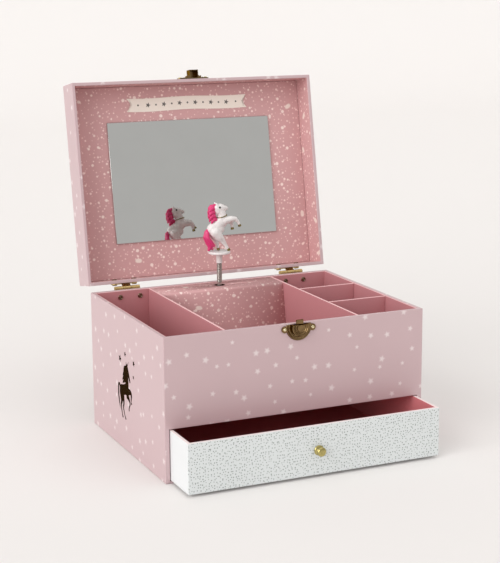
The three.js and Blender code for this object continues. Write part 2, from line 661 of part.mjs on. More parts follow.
function lidPanels() {
  const top = slab([-halfWidth, halfWidth], [-halfDepth, halfDepth], [lidTop - LID_BOARD, lidTop]);
  const x = halfWidth - LID_WALL - FIT_GAP;
  const y = halfDepth - LID_WALL - FIT_GAP;
  const lining = slab([-x, x], [-y, y], [liningUnder, liningUnder + LINING]);
  const mirrorBack = halfDepth - MIRROR_FROM_HINGE_EDGE;
  const glassTop = liningUnder - GLUE_LINE;
  const glass = slab([-MIRROR_WIDTH / 2, MIRROR_WIDTH / 2], [mirrorBack - MIRROR_HEIGHT, mirrorBack],
    [glassTop - MIRROR_THICKNESS, glassTop]);
  return [
    part('lid_top_panel', top, finish.starPaper()),
    part('lid_lining', lining, finish.liningPaper()),
    part('mirror', glass, finish.mirror()),
  ];
}

function banner() {
  const half = BANNER_WIDTH / 2;
  const near = halfDepth - BANNER_FROM_HINGE_EDGE;
  const far = near - BANNER_HEIGHT;
  const middle = (near + far) / 2;
  const ribbon = outline([
    [-half, far],
    [half, far],
    [half - BANNER_NOTCH, middle],
    [half, near],
    [-half, near],
    [-half + BANNER_NOTCH, middle],
  ]);
  const top = liningUnder - GLUE_LINE;
  return part('banner_label', prismZ(ribbon, top - BANNER_CARD, top), finish.cream());
}

// ---- Drawer, drawn shut ----

function drawerBox() {
  const frontY = -halfDepth;
  const insideX = drawerHalfWidth - DRAWER_BOARD;
  const sideY = [frontY + DRAWER_BOARD + GLUE_LINE, drawerBackY];
  const z = [drawerFloor, drawerTop];
  const innerY = [frontY + DRAWER_BOARD + GLUE_LINE, drawerBackY - DRAWER_BOARD - GLUE_LINE];
  const bottomX = insideX - GLUE_LINE;
  const knobZ = (drawerFloor + drawerTop) / 2;
  const front = slab([-drawerHalfWidth, drawerHalfWidth], [frontY, frontY + DRAWER_BOARD], z);
  const screwHole = rodY(0, knobZ, KNOB_SCREW_RADIUS + FIT_GAP, frontY - CUT_MARGIN,
    frontY + DRAWER_BOARD + CUT_MARGIN);
  const back = slab([-bottomX, bottomX], [drawerBackY - DRAWER_BOARD, drawerBackY], z);
  const bottom = slab([-bottomX, bottomX], innerY, [drawerFloor, drawerFloor + DRAWER_BOTTOM]);
  return [
    part('drawer_front', cut(front, screwHole), finish.whitePaper()),
    part('drawer_left_side', slab([-drawerHalfWidth, -insideX], sideY, z), finish.whitePaper()),
    part('drawer_right_side', slab([insideX, drawerHalfWidth], sideY, z), finish.whitePaper()),
    part('drawer_back', back, finish.whitePaper()),
    part('drawer_bottom', bottom, finish.rosePaper()),
  ];
}

function drawerKnob() {
  const face = -halfDepth - FIT_GAP;
  const tip = face - KNOB_LENGTH;
  const bore = KNOB_SCREW_RADIUS + PIN_CLEARANCE;
  const profile = [
    [0, tip],
    ...KNOB_OUTLINE.map(([share, along]) => [KNOB_RADIUS * share, tip + along]),
    [KNOB_RADIUS * KNOB_OUTLINE.at(-1)[0], face - KNOB_FOOT],
    [KNOB_RADIUS * KNOB_FOOT_SHARE, face],
    [bore, face],
    [bore, tip + KNOB_TIP_WALL],
    [0, tip + KNOB_TIP_WALL],
  ];
  const z = (drawerFloor + drawerTop) / 2;
  return part('drawer_knob', turned(profile, MIDDLE_FACETS).translate(0, 0, z), finish.brass());
}

function knobScrew() {
  const head = -halfDepth + DRAWER_BOARD + FIT_GAP;
  const end = -halfDepth - KNOB_LENGTH + KNOB_TIP_WALL;
  const profile = [
    [0, end],
    [KNOB_SCREW_RADIUS, end],
    [KNOB_SCREW_RADIUS, head],
    [KNOB_SCREW_RADIUS * 2, head],
    [KNOB_SCREW_RADIUS * 1.4, head + KNOB_SCREW_HEAD * 0.85],
    [0, head + KNOB_SCREW_HEAD],
  ];
  const z = (drawerFloor + drawerTop) / 2;
  return part('knob_screw', turned(profile, SMALL_FACETS).translate(0, 0, z), finish.steel());
}

// ---- Movement ----

// Straight-sided teeth; the first tooth points along phase.
function gearShape(teeth, pitch, [below, above, rootWidth, tipWidth], phase) {
  const root = pitch - below;
  const tip = pitch + above;
  const points = [];
  for (let i = 0; i < teeth; i += 1) {
    const angle = phase + (2 * Math.PI * i) / teeth;
    const rootTurn = rootWidth / 2 / root;
    const tipTurn = tipWidth / 2 / tip;
    for (const [radius, turn] of [[root, -rootTurn], [tip, -tipTurn], [tip, tipTurn], [root, rootTurn]]) {
      points.push([radius * Math.cos(angle + turn), radius * Math.sin(angle + turn)]);
    }
  }
  return outline(points);
}

function spurShape(teeth, phase) {
  return gearShape(teeth, SPUR_MODULE * teeth / 2, SPUR_TOOTH, phase);
}

function bedplate() {
  const lugY = [spindleY - LUG_NOSE, bedplateFrontY + LAP];
  const combEndX = -DRUM_RADIUS - COMB_TOOTH_LENGTH - COMB_BASE_LENGTH;
  const armX = wormX + FAN_SPAN / 2 + ARM_FROM_FAN;
  const armEndX = armX + ARM_THICKNESS;
  const armZ = [wormZ - ARM_HALF_HEIGHT, wormZ + ARM_HALF_HEIGHT];
  const plate = slab([combEndX - CUT_MARGIN, armEndX], [bedplateFrontY, bedplateFrontY + BEDPLATE],
    [crownZ - CROWN_RADIUS, topLugTop + ARBOR_STUB]);
  const lugs = [
    [0, lowLugBottom],
    [0, topLugTop - LUG],
    [governorX, governorLugZ[0]],
    [governorX, governorLugZ[1]],
  ].map(([x, z]) => slab([x - LUG_HALF_WIDTH, x + LUG_HALF_WIDTH], lugY, [z, z + LUG]));
  const combStep = slab([combEndX, combEndX + COMB_BASE_LENGTH - CUT_MARGIN],
    [spindleY + COMB_THICKNESS / 2 + FIT_GAP, bedplateFrontY + LAP], [drumBottom, drumBottom + DRUM_LENGTH]);
  const arm = slab([armX, armEndX], [frontLugY, bedplateFrontY + LAP], armZ);
  const frontLug = slab([wormX - LUG_HALF_WIDTH, armX + LAP], [frontLugY, frontLugY + FRONT_LUG], armZ);
  const pivot = PIVOT_RADIUS + BEARING_CLEARANCE;
  const bores = [
    rodZ(0, spindleY, ARBOR_RADIUS + BEARING_CLEARANCE, lowLugBottom - CUT_MARGIN, topLugTop + CUT_MARGIN),
    rodZ(governorX, spindleY, pivot, governorLugZ[0] - CUT_MARGIN, governorLugZ[1] + LUG + CUT_MARGIN,
      SMALL_FACETS),
    rodY(wormX, wormZ, pivot, frontLugY - CUT_MARGIN, bedplateFrontY + BEDPLATE + CUT_MARGIN, SMALL_FACETS),
    rodY(0, crownZ, WINDING_ARBOR_RADIUS + BEARING_CLEARANCE, bedplateFrontY - CUT_MARGIN, backWallY),
  ];
  return part('bedplate', cut(join(plate, ...lugs, combStep, arm, frontLug), ...bores), finish.zinc());
}

function comb() {
  const pitch = DRUM_LENGTH / NOTES;
  const tipX = -DRUM_RADIUS - COMB_STAND_OFF;
  const rootX = tipX - COMB_TOOTH_LENGTH;
  const endX = rootX - COMB_BASE_LENGTH;
  const points = [[endX, drumBottom]];
  for (let i = 0; i < NOTES; i += 1) {
    const low = drumBottom + (i + COMB_SLOT / 2) * pitch;
    const high = drumBottom + (i + 1 - COMB_SLOT / 2) * pitch;
    points.push([rootX, low], [tipX, low], [tipX, high], [rootX, high]);
  }
  points.push([rootX, drumBottom + DRUM_LENGTH], [endX, drumBottom + DRUM_LENGTH]);
  const y = [spindleY - COMB_THICKNESS / 2, spindleY + COMB_THICKNESS / 2];
  return part('comb', prismY(outline(points), ...y), finish.steel());
}

function cylinder() {
  const phase = Math.PI / 2 + Math.PI / DRUM_PINION_TEETH;
  const pinion = gearShape(DRUM_PINION_TEETH, pinionPitch, PINION_TOOTH, phase);
  const solid = join(
    rodZ(0, 0, ARBOR_RADIUS, pinionBottom - 2 * LAP, topLugTop + ARBOR_STUB),
    rodZ(0, 0, DRUM_RADIUS, drumBottom, drumTop - SPUR_WIDTH + GLUE_LINE, LARGE_FACETS),
    prismZ(spurShape(DRUM_GEAR_TEETH, Math.PI / DRUM_GEAR_TEETH), drumTop - SPUR_WIDTH, drumTop),
    prismZ(pinion, pinionBottom, pinionTop));
  return part('cylinder', solid.translate(0, spindleY, 0), finish.brass());
}

function crownWheel() {
  const [below, above, rootWidth, tipWidth] = CROWN_TOOTH;
  const pitchY = spindleY + pinionPitch;
  const discFront = pitchY + below;
  const tipY = pitchY - above;
  const disc = new THREE.Shape().absarc(0, 0, crownOuter, 0, Math.PI * 2, false);
  disc.holes.push(circlePath(0, 0, WINDING_ARBOR_RADIUS + FIT_GAP));
  const tooth = outline([
    [-rootWidth / 2, discFront + GLUE_LINE],
    [rootWidth / 2, discFront + GLUE_LINE],
    [tipWidth / 2, tipY],
    [-tipWidth / 2, tipY],
  ]);
  const teeth = [];
  for (let i = 0; i < CROWN_TEETH; i += 1) {
    const wedge = prismZ(tooth, CROWN_RADIUS - CROWN_TOOTH_SPAN / 2, crownOuter - GLUE_LINE / 2);
    teeth.push(wedge.rotateY((2 * Math.PI * i) / CROWN_TEETH));
  }
  const solid = join(prismY(disc, discFront, discFront + CROWN_DISC, LARGE_FACETS), ...teeth);
  return part('crown_wheel', solid.translate(0, 0, crownZ), finish.brass());
}

function windingArbor() {
  const start = housingFrontY + HOUSING_WALL + AXIAL_PLAY;
  const end = halfDepth + KEY_STAND_OFF + KEY_BORE_DEPTH;
  const arbor = rodY(0, crownZ, WINDING_ARBOR_RADIUS, start, end, MIDDLE_FACETS);
  return part('winding_arbor', arbor, finish.steel());
}

function windingKey() {
  const start = halfDepth + KEY_STAND_OFF;
  const bossEnd = start + KEY_BOSS_LENGTH;
  const wingY = bossEnd + KEY_WING_RADIUS * KEY_WING_BACK;
  const half = KEY_WING_THICKNESS / 2;
  const wings = [-KEY_WING_RADIUS, KEY_WING_RADIUS].map((x) => (
    rodZ(x * KEY_WING_OUT, wingY, KEY_WING_RADIUS, crownZ - half, crownZ + half, MIDDLE_FACETS)));
  const solid = join(rodY(0, crownZ, KEY_BOSS_RADIUS, start, bossEnd, MIDDLE_FACETS), ...wings);
  const arborHole = rodY(0, crownZ, WINDING_ARBOR_RADIUS + FIT_GAP, start - CUT_MARGIN,
    start + KEY_BORE_DEPTH + FIT_GAP, MIDDLE_FACETS);
  return part('winding_key', cut(solid, arborHole), finish.brass());
}

function springHousing() {
  const back = housingFrontY + HOUSING_DEPTH;
  const cup = rodY(0, 0, HOUSING_RADIUS, housingFrontY, back, LARGE_FACETS);
  const hollow = rodY(0, 0, HOUSING_RADIUS - HOUSING_WALL, housingFrontY + HOUSING_WALL, back + CUT_MARGIN,
    LARGE_FACETS);
  const postX = crownOuter + POST_FROM_WHEEL;
  const bridge = slab([-postX, postX], [housingFrontY, housingFrontY + BRIDGE_THICKNESS],
    [-BRIDGE_HALF_WIDTH, BRIDGE_HALF_WIDTH]);
  const posts = [-postX, postX].map((x) => (
    rodY(x, 0, POST_RADIUS, housingFrontY, bedplateFrontY - FIT_GAP, SMALL_FACETS)));
  const solid = cut(join(cup, bridge, ...posts), hollow);
  return part('spring_housing', solid.translate(0, 0, crownZ), finish.zinc());
}

function mainspring() {
  const inner = WINDING_ARBOR_RADIUS + MAINSPRING_START;
  const outer = HOUSING_RADIUS - HOUSING_WALL - MAINSPRING_END;
  const steps = MAINSPRING_TURNS * MAINSPRING_STEPS;
  const edge = (offset) => Array.from({ length: steps + 1 }, (_, i) => {
    const radius = inner + ((outer - inner) * i) / steps + offset;
    const angle = (2 * Math.PI * MAINSPRING_TURNS * i) / steps;
    return [radius * Math.cos(angle), radius * Math.sin(angle)];
  });
  const strip = outline([...edge(-MAINSPRING_THICKNESS), ...edge(0).reverse()]);
  const front = housingFrontY + HOUSING_WALL + MAINSPRING_SIDE_GAP;
  const solid = prismY(strip, front, housingFrontY + HOUSING_DEPTH - MAINSPRING_SIDE_GAP);
  return part('mainspring', solid.translate(0, 0, crownZ), finish.steel());
}

function governorWheel() {
  const wheel = gearShape(WORM_WHEEL_TEETH, WORM_WHEEL_RADIUS, WORM_WHEEL_TOOTH, 0);
  const lean = wormLead / (2 * Math.PI * WORM_RADIUS) / WORM_WHEEL_RADIUS;
  const disc = prismZ(wheel, -WORM_WHEEL_WIDTH / 2, WORM_WHEEL_WIDTH / 2);
  const corners = disc.attributes.position;
  const corner = new THREE.Vector3();
  for (let i = 0; i < corners.count; i += 1) {
    corner.fromBufferAttribute(corners, i);
    corner.applyAxisAngle(new THREE.Vector3(0, 0, 1), lean * corner.z);
    corners.setXYZ(i, corner.x, corner.y, corner.z);
  }
  const solid = join(
    rodZ(0, 0, PIVOT_RADIUS, governorLugZ[0] + FIT_GAP, governorLugZ[1] + LUG - FIT_GAP, SMALL_FACETS),
    prismZ(spurShape(GOVERNOR_PINION_TEETH, Math.PI), drumTop - SPUR_WIDTH, drumTop),
    disc.translate(0, 0, wormZ));
  return part('governor_wheel', solid.translate(governorX, spindleY, 0), finish.brass());
}

class ThreadCurve extends THREE.Curve {
  constructor(radius, lead, turns, start) {
    super();
    Object.assign(this, { radius, lead, turns, start });
  }

  getPoint(t, target = new THREE.Vector3()) {
    const angle = this.start + 2 * Math.PI * this.turns * t;
    const along = this.lead * this.turns * (t - 0.5);
    return target.set(this.radius * Math.sin(angle), along, this.radius * Math.cos(angle));
  }
}

function wire(curve, radius, steps, sides) {
  const points = Array.from({ length: sides }, (_, i) => {
    const angle = (2 * Math.PI * i) / sides;
    return [radius * Math.cos(angle), radius * Math.sin(angle)];
  });
  return new THREE.ExtrudeGeometry(outline(points), { steps, extrudePath: curve, bevelEnabled: false });
}

function governorFan() {
  const turns = WORM_LENGTH / wormLead;
  const threads = Array.from({ length: WORM_STARTS }, (_, i) => {
    const start = -Math.PI / 2 - Math.PI * turns + Math.PI / WORM_STARTS + (2 * Math.PI * i) / WORM_STARTS;
    const curve = new ThreadCurve(WORM_RADIUS - THREAD_DROP, wormLead, turns, start);
    return wire(curve, THREAD_RADIUS, Math.round(turns * THREAD_STEPS), THREAD_SIDES);
  });
  const coreHalf = WORM_LENGTH / 2 + LAP;
  const bladeHalf = FAN_THICKNESS / 2;
  const bladeY = -FRONT_LUG_REACH + FRONT_LUG + AXIAL_PLAY;
  const arborEnd = bedplateFrontY + BEDPLATE - spindleY - BEARING_CLEARANCE;
  const solid = join(
    rodY(0, 0, PIVOT_RADIUS, -FRONT_LUG_REACH, arborEnd, SMALL_FACETS),
    rodY(0, 0, WORM_CORE_RADIUS, -coreHalf, coreHalf, SMALL_FACETS),
    slab([-FAN_SPAN / 2, FAN_SPAN / 2], [bladeY, bladeY + FAN_WIDTH], [-bladeHalf, bladeHalf]),
    ...threads);
  return part('governor_fan', solid.translate(wormX, spindleY, wormZ), finish.brass());
}

function spindle() {
  const top = BODY_HEIGHT + SPINDLE_RISE;
  const bottom = topLugTop + AXIAL_PLAY;
  const bore = ARBOR_RADIUS + FIT_GAP;
  const boreEnd = topLugTop + ARBOR_STUB + FIT_GAP;
  const profile = [
    [bore, bottom],
    [SPINDLE_RADIUS, bottom],
    [SPINDLE_RADIUS, top],
    [0, top],
    [0, boreEnd],
    [bore, boreEnd],
    [bore, bottom],
  ];
  return part('spindle', turned(profile).rotateX(Math.PI / 2).translate(0, spindleY, 0), finish.steel());
}

// ---- Figure on its spring ----

function flexSpring() {
  const lead = (NECK_TOP - NECK_FROM_RIM - 2 * NECK_WIRE_RADIUS) / NECK_COILS;
  const curve = new ThreadCurve(NECK_COIL_RADIUS, lead, NECK_COILS, 0);
  const coil = wire(curve, NECK_WIRE_RADIUS, NECK_COILS * NECK_STEPS, NECK_WIRE_SIDES);
  const middle = BODY_HEIGHT + (NECK_TOP + NECK_FROM_RIM) / 2;
  return part('flex_spring', coil.rotateX(Math.PI / 2).translate(0, spindleY, middle), finish.steel());
}

function figureStand() {
  const profile = [
    [0, SOCKET_BOTTOM],
    [SOCKET_RADIUS - SOCKET_TAPER, SOCKET_BOTTOM],
    [SOCKET_RADIUS, STAND_BOTTOM - SOCKET_FLARE],
    [SOCKET_RADIUS + SOCKET_FLARE, STAND_BOTTOM],
    [STAND_RADIUS - STAND_EDGE, STAND_BOTTOM],
    [STAND_RADIUS, STAND_BOTTOM + STAND_EDGE],
    [STAND_RADIUS, STAND_TOP - STAND_EDGE],
    [STAND_RADIUS - STAND_EDGE, STAND_TOP],
    [0, STAND_TOP],
  ];
  const solid = turned(profile, LARGE_FACETS).rotateX(Math.PI / 2).translate(0, spindleY, BODY_HEIGHT);
  return part('figure_stand', solid, finish.whitePlastic());
}

function ball([x, y, z], [rx, ry, rz]) {
  return new THREE.IcosahedronGeometry(1, 1).scale(rx, ry, rz).translate(x, y, z);
}

// A chain of tapering limbs through [x, y, z, radius] joints.
function limb(...joints) {
  const pieces = joints.map(([x, y, z, r]) => (
    new THREE.IcosahedronGeometry(r * JOINT_FULLNESS, 0).translate(x, y, z)));
  for (let i = 1; i < joints.length; i += 1) {
    const from = new THREE.Vector3(...joints[i - 1]);
    const to = new THREE.Vector3(...joints[i]);
    const along = to.clone().sub(from);
    const shaft = new THREE.CylinderGeometry(joints[i][3], joints[i - 1][3], along.length(), LIMB_SIDES);
    const upright = new THREE.Vector3(0, 1, 0);
    shaft.applyQuaternion(new THREE.Quaternion().setFromUnitVectors(upright, along.normalize()));
    shaft.translate(...from.add(to).multiplyScalar(0.5).toArray());
    pieces.push(shaft);
  }
  return pieces;
}

// A rearing horse seen from its right side, facing +X, with its hind hooves on the stand.
function horseFigure() {
  const rump = ball([-5.2, 0, 21.2], [7.2, 4.9, 6.6]);
  const chest = ball([1.6, 0, 26], [6.8, 4.7, 6.4]);
  const skull = ball([0.4, 0, 38.8], [4.8, 3.1, 4.4]);
  const pieces = [
    ...limb([2.2, 0, 28.5, 4.6], [1.6, 0, 37, 3.6]),
    ...limb([2.4, 0, 40, 2.9], [7, 0, 39.8, 1.7]),
    ...limb([-2.9, 1.5, 43, 1.1], [-3.6, 1.8, 45.3, 0.4]),
    ...limb([-2.9, -1.5, 43, 1.1], [-3.6, -1.8, 45.3, 0.4]),
    ...limb([5.5, -2.3, 29, 3], [16.6, -3, 30.6, 1.8], [21.7, -3.2, 25, 1.4]),
    ...limb([5.5, 2.3, 27.6, 2.8], [13.4, 3, 28.4, 1.7], [16.2, 3.2, 22.4, 1.3]),
    ...limb([-4.5, -2.6, 18, 4], [1.6, -3, 12, 2], [7.6, -3.1, 1.7, 1.4]),
    ...limb([-5, 2.6, 18, 3.8], [-2.4, 3, 11.5, 1.9], [0.6, 3.1, 1.7, 1.4]),
    ...limb([-5.6, 0, 42.6, 2.6], [-7.8, 0, 37.6, 2.6], [-4.6, 0, 31.6, 2.4]),
    ...limb([-11.2, 0, 20.4, 1.8], [-13.2, 0, 14.8, 2.4], [-9.4, 0, 7.2, 3], [-10.4, 0, 1.8, 1.4]),
  ];
  const feet = BODY_HEIGHT + STAND_TOP + STANDING_GAP;
  const solid = join(rump, chest, skull, ...pieces).translate(0, spindleY, feet);
  return part('horse_figure', solid, finish.whitePlastic());
}

// ---- Assembly ----

musicBox.add(basePanel(), sidePanel('left_side_panel', -1), sidePanel('right_side_panel', 1));
musicBox.add(backPanel(), frontPanel(), drawerDeck(), ...trayDividers(), ...movementCover());
hinges();
bodyCatch();
lidStrike();
lid.add(...lidPanels(), lidRim(), banner());
drawer.add(...drawerBox(), drawerKnob(), knobScrew());
musicBox.add(bedplate(), comb(), springHousing(), mainspring());
musicBox.add(crownWheel(), windingArbor(), windingKey(), cylinder(), spindle());
musicBox.add(governorWheel(), governorFan());
musicBox.add(flexSpring(), figureStand(), horseFigure());

// The lid turns about the hinge pins, and the drawer stands partly out.
const lidTurn = new THREE.Group();
lidTurn.position.set(0, pinY, pinZ);
lidTurn.rotation.x = -THREE.MathUtils.degToRad(LID_OPEN_DEGREES);
lid.position.set(0, -pinY, -pinZ);
lidTurn.add(lid);
drawer.position.y = -DRAWER_PULL;
musicBox.add(lidTurn, drawer);

export default musicBox;
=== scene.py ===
import json
import math
import random

import bmesh
import bpy
from mathutils import Matrix, Vector


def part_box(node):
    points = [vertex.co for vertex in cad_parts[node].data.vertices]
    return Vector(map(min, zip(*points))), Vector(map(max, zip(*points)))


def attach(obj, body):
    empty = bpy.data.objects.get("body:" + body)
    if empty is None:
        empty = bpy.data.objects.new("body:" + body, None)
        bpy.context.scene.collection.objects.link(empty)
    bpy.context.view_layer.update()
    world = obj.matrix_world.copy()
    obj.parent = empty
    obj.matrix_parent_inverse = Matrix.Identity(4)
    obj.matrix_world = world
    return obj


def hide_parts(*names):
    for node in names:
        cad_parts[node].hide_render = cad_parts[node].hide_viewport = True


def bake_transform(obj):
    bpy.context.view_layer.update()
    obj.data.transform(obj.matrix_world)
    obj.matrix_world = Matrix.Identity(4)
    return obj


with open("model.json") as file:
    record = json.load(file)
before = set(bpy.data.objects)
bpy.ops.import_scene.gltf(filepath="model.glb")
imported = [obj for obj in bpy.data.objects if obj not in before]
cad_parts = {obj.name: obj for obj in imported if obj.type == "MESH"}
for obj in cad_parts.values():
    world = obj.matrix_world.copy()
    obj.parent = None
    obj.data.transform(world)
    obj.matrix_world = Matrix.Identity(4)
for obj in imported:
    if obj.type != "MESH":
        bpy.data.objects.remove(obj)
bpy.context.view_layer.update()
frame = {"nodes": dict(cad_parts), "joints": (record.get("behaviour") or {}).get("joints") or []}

MM = 0.001

# ---- Table, light and camera ----
# The box stands on a seamless pale sweep that curves up behind it. Large soft lights stand round
# it, the brightest on its left, in a pale room.


def colour(code):
    """A six-digit hex colour as the linear values that sockets take."""
    parts = [int(code[i:i + 2], 16) / 255 for i in (0, 2, 4)]
    return [c / 12.92 if c <= 0.04045 else ((c + 0.055) / 1.055) ** 2.4 for c in parts] + [1.0]


def plug(tree, node, sockets):
    """Gives each named socket of a node a value or another node's output."""
    for key, value in sockets.items():
        if isinstance(value, bpy.types.NodeSocket):
            tree.links.new(value, node.inputs[key])
        else:
            node.inputs[key].default_value = value


def add_node(tree, kind, sockets=None, **settings):
    """Adds a node; each socket takes a value or another node's output."""
    node = tree.nodes.new(kind)
    for name, value in settings.items():
        setattr(node, name, value)
    plug(tree, node, sockets or {})
    return node


def mix(tree, share, first, second):
    """The first colour where the share is 0 and the second where it is 1."""
    return add_node(tree, "ShaderNodeMix", {0: share, 6: first, 7: second}, data_type="RGBA").outputs[2]


def between(tree, share, low, high):
    """The low value where the share is 0 and the high one where it is 1."""
    return add_node(tree, "ShaderNodeMapRange", {"Value": share, "To Min": low, "To Max": high}).outputs[0]


def new_material(name):
    """A material with a bare Principled shader; gives the tree and the shader too."""
    made = bpy.data.materials.new(name)
    made.use_nodes = True
    tree = made.node_tree
    tree.nodes.clear()
    shader = tree.nodes.new("ShaderNodeBsdfPrincipled")
    add_node(tree, "ShaderNodeOutputMaterial", {"Surface": shader.outputs[0]})
    return made, tree, shader


def new_object(name, shape, *materials):
    """An object at the origin made from a bmesh."""
    mesh = bpy.data.meshes.new(name)
    shape.to_mesh(mesh)
    shape.free()
    for material in materials:
        mesh.materials.append(material)
    made = bpy.data.objects.new(name, mesh)
    bpy.context.scene.collection.objects.link(made)
    return made


FLOOR_NEAR, FLOOR_FAR, FLOOR_HALF, FLOOR_GAP = -3.0, 2.6, 5.0, 0.2 * MM
SWEEP_RADIUS, SWEEP_HEIGHT = 1.2, 4.0
sweep_path = [(FLOOR_NEAR, 0.0)] + [
    (FLOOR_FAR + SWEEP_RADIUS * math.sin(a), SWEEP_RADIUS * (1 - math.cos(a)))
    for a in (math.radians(d) for d in range(0, 91, 6))] + [(FLOOR_FAR + SWEEP_RADIUS, SWEEP_HEIGHT)]
sweep = bmesh.new()
rows = [[sweep.verts.new((x, y, z - FLOOR_GAP)) for x in (-FLOOR_HALF, FLOOR_HALF)]
        for y, z in sweep_path]
for (a, b), (c, d) in zip(rows, rows[1:]):
    sweep.faces.new((a, b, d, c)).smooth = True
floor_paint, floor_tree, floor_shader = new_material("pale_sweep")
floor_spots = add_node(floor_tree, "ShaderNodeTexNoise", {"Scale": 3.0, "Detail": 3.0})
plug(floor_tree, floor_shader, {
    "Base Color": mix(floor_tree, floor_spots.outputs[0], colour("ece9e7"), colour("edeae8")),
    "Roughness": 0.95, "Specular IOR Level": 0.1})
new_object("pale_floor", sweep, floor_paint)

ROOM_LIGHT, ROOM_SEEN = 0.64, 0.96
world = bpy.data.worlds.new("soft_room")
world.use_nodes = True
room = world.node_tree
ray = add_node(room, "ShaderNodeLightPath")
plug(room, room.nodes["Background"], {
    "Color": colour("faf8f6"),
    "Strength": between(room, ray.outputs["Is Camera Ray"], ROOM_LIGHT, ROOM_SEEN)})
bpy.context.scene.world = world
bpy.context.scene.view_settings.view_transform = "Standard"


def broad_light(name, towards, strength, spread_degrees, mirrored=True):
    """A very wide, even light from a direction, as from a wall of softboxes."""
    lamp = bpy.data.lights.new(name, "SUN")
    lamp.energy = strength
    lamp.angle = math.radians(spread_degrees)
    holder = bpy.data.objects.new(name, lamp)
    holder.matrix_world = (-Vector(towards)).to_track_quat("-Z", "Y").to_matrix().to_4x4()
    holder.visible_glossy = mirrored
    bpy.context.scene.collection.objects.link(holder)


broad_light("left_softboxes", (-1.0, -0.44, 0.42), 1.75, 50)
broad_light("front_softbox", (0.35, -1.0, 0.85), 0.28, 60, mirrored=False)
broad_light("overhead_softboxes", (0.1, 0.0, 1.0), 0.56, 70)

CAMERA_TURN, CAMERA_RISE = math.radians(-25.532), math.radians(12.079)
CAMERA_DISTANCE = 1349.974 * MM
CAMERA_AIM_ACROSS, CAMERA_AIM_UP = 32.921 * MM, 137.29 * MM
CAMERA_LENS, CAMERA_SENSOR, CAMERA_SHIFT = 95.39, 36.0, -0.0710
back = Vector((math.sin(CAMERA_TURN) * math.cos(CAMERA_RISE),
               -math.cos(CAMERA_TURN) * math.cos(CAMERA_RISE), math.sin(CAMERA_RISE)))
across = (-back).cross(Vector((0, 0, 1))).normalized()
upward = across.cross(-back)
lens = bpy.data.cameras.new("camera")
lens.lens, lens.sensor_width, lens.shift_x = CAMERA_LENS, CAMERA_SENSOR, CAMERA_SHIFT
camera = bpy.data.objects.new("camera", lens)
eye = back * CAMERA_DISTANCE + across * CAMERA_AIM_ACROSS + upward * CAMERA_AIM_UP
camera.matrix_world = Matrix.Translation(eye) @ Matrix((across, upward, back)).transposed().to_4x4()
bpy.context.scene.collection.objects.link(camera)
bpy.context.scene.camera = camera

# ---- Carcass ----
# Four walls of 4 mm grey board, glued and wrapped in one sheet of printed paper: pale pink with
# soft white stars outside. The paper turns over the rim, and its corners are slightly round.


def shader_group(name, inputs, outputs):
    """A node group for materials; gives its tree, its input values and its output sockets."""
    tree = bpy.data.node_groups.new(name, "ShaderNodeTree")
    for label, value in inputs.items():
        kind = "NodeSocketVector" if value is None else "NodeSocketFloat"
        socket = tree.interface.new_socket(label, in_out="INPUT", socket_type=kind)
        if value is not None:
            socket.default_value = value
    for label in outputs:
        tree.interface.new_socket(label, in_out="OUTPUT", socket_type="NodeSocketFloat")
    return tree, tree.nodes.new("NodeGroupInput").outputs, tree.nodes.new("NodeGroupOutput").inputs


def reckon(tree, operation, *values):
    """One step of arithmetic on values and other nodes' outputs."""
    return add_node(tree, "ShaderNodeMath", dict(enumerate(values)), operation=operation).outputs[0]


def object_places(tree):
    """Where each point is in its object, in metres."""
    return add_node(tree, "ShaderNodeTexCoord").outputs["Object"]


def noise(tree, vector, scale, detail, roughness=0.5):
    """Cloudy noise from 0 to 1."""
    return add_node(tree, "ShaderNodeTexNoise", {
        "Vector": vector, "Scale": scale, "Detail": detail, "Roughness": roughness}).outputs[0]


def bumps(tree, height, distance, strength):
    """A normal for a shader, from a height whose 1 stands for a distance."""
    return add_node(tree, "ShaderNodeBump", {
        "Height": height, "Distance": distance, "Strength": strength}).outputs[0]


# Paper is a mat of fibres: broad clouds in its tint and a fine tooth that can be felt.
CLOUD_SHARE, PAPER_TOOTH, WHOLE_TURN = 0.6, 0.02 * MM, 6.28
paper_grain, given, wanted = shader_group(
    "paper_grain", {"Vector": None, "Fibre Scale": 2600.0, "Cloud Scale": 22.0}, ("Tint", "Height"))
clouds = noise(paper_grain, given["Vector"], given["Cloud Scale"], 4.0, 0.6)
fibres = noise(paper_grain, given["Vector"], given["Fibre Scale"], 3.0, 0.7)
mixed = reckon(paper_grain, "ADD", reckon(paper_grain, "MULTIPLY", clouds, CLOUD_SHARE),
               reckon(paper_grain, "MULTIPLY", fibres, 1 - CLOUD_SHARE))
paper_grain.links.new(mixed, wanted["Tint"])
paper_grain.links.new(fibres, wanted["Height"])

# Printed motifs: one star or dot in each cell of a loose grid, some left out, sizes a little uneven.
printed_motif, given, wanted = shader_group(
    "printed_motif", {"Vector": None, "Spacing": 0.02, "Radius": 0.002, "Points": 0.0, "Waist": 0.0,
                      "Share": 0.8, "Softness": 0.3, "Unevenness": 0.3, "Looseness": 0.8}, ("Mask",))


def motif(operation, *values):
    return reckon(printed_motif, operation, *values)


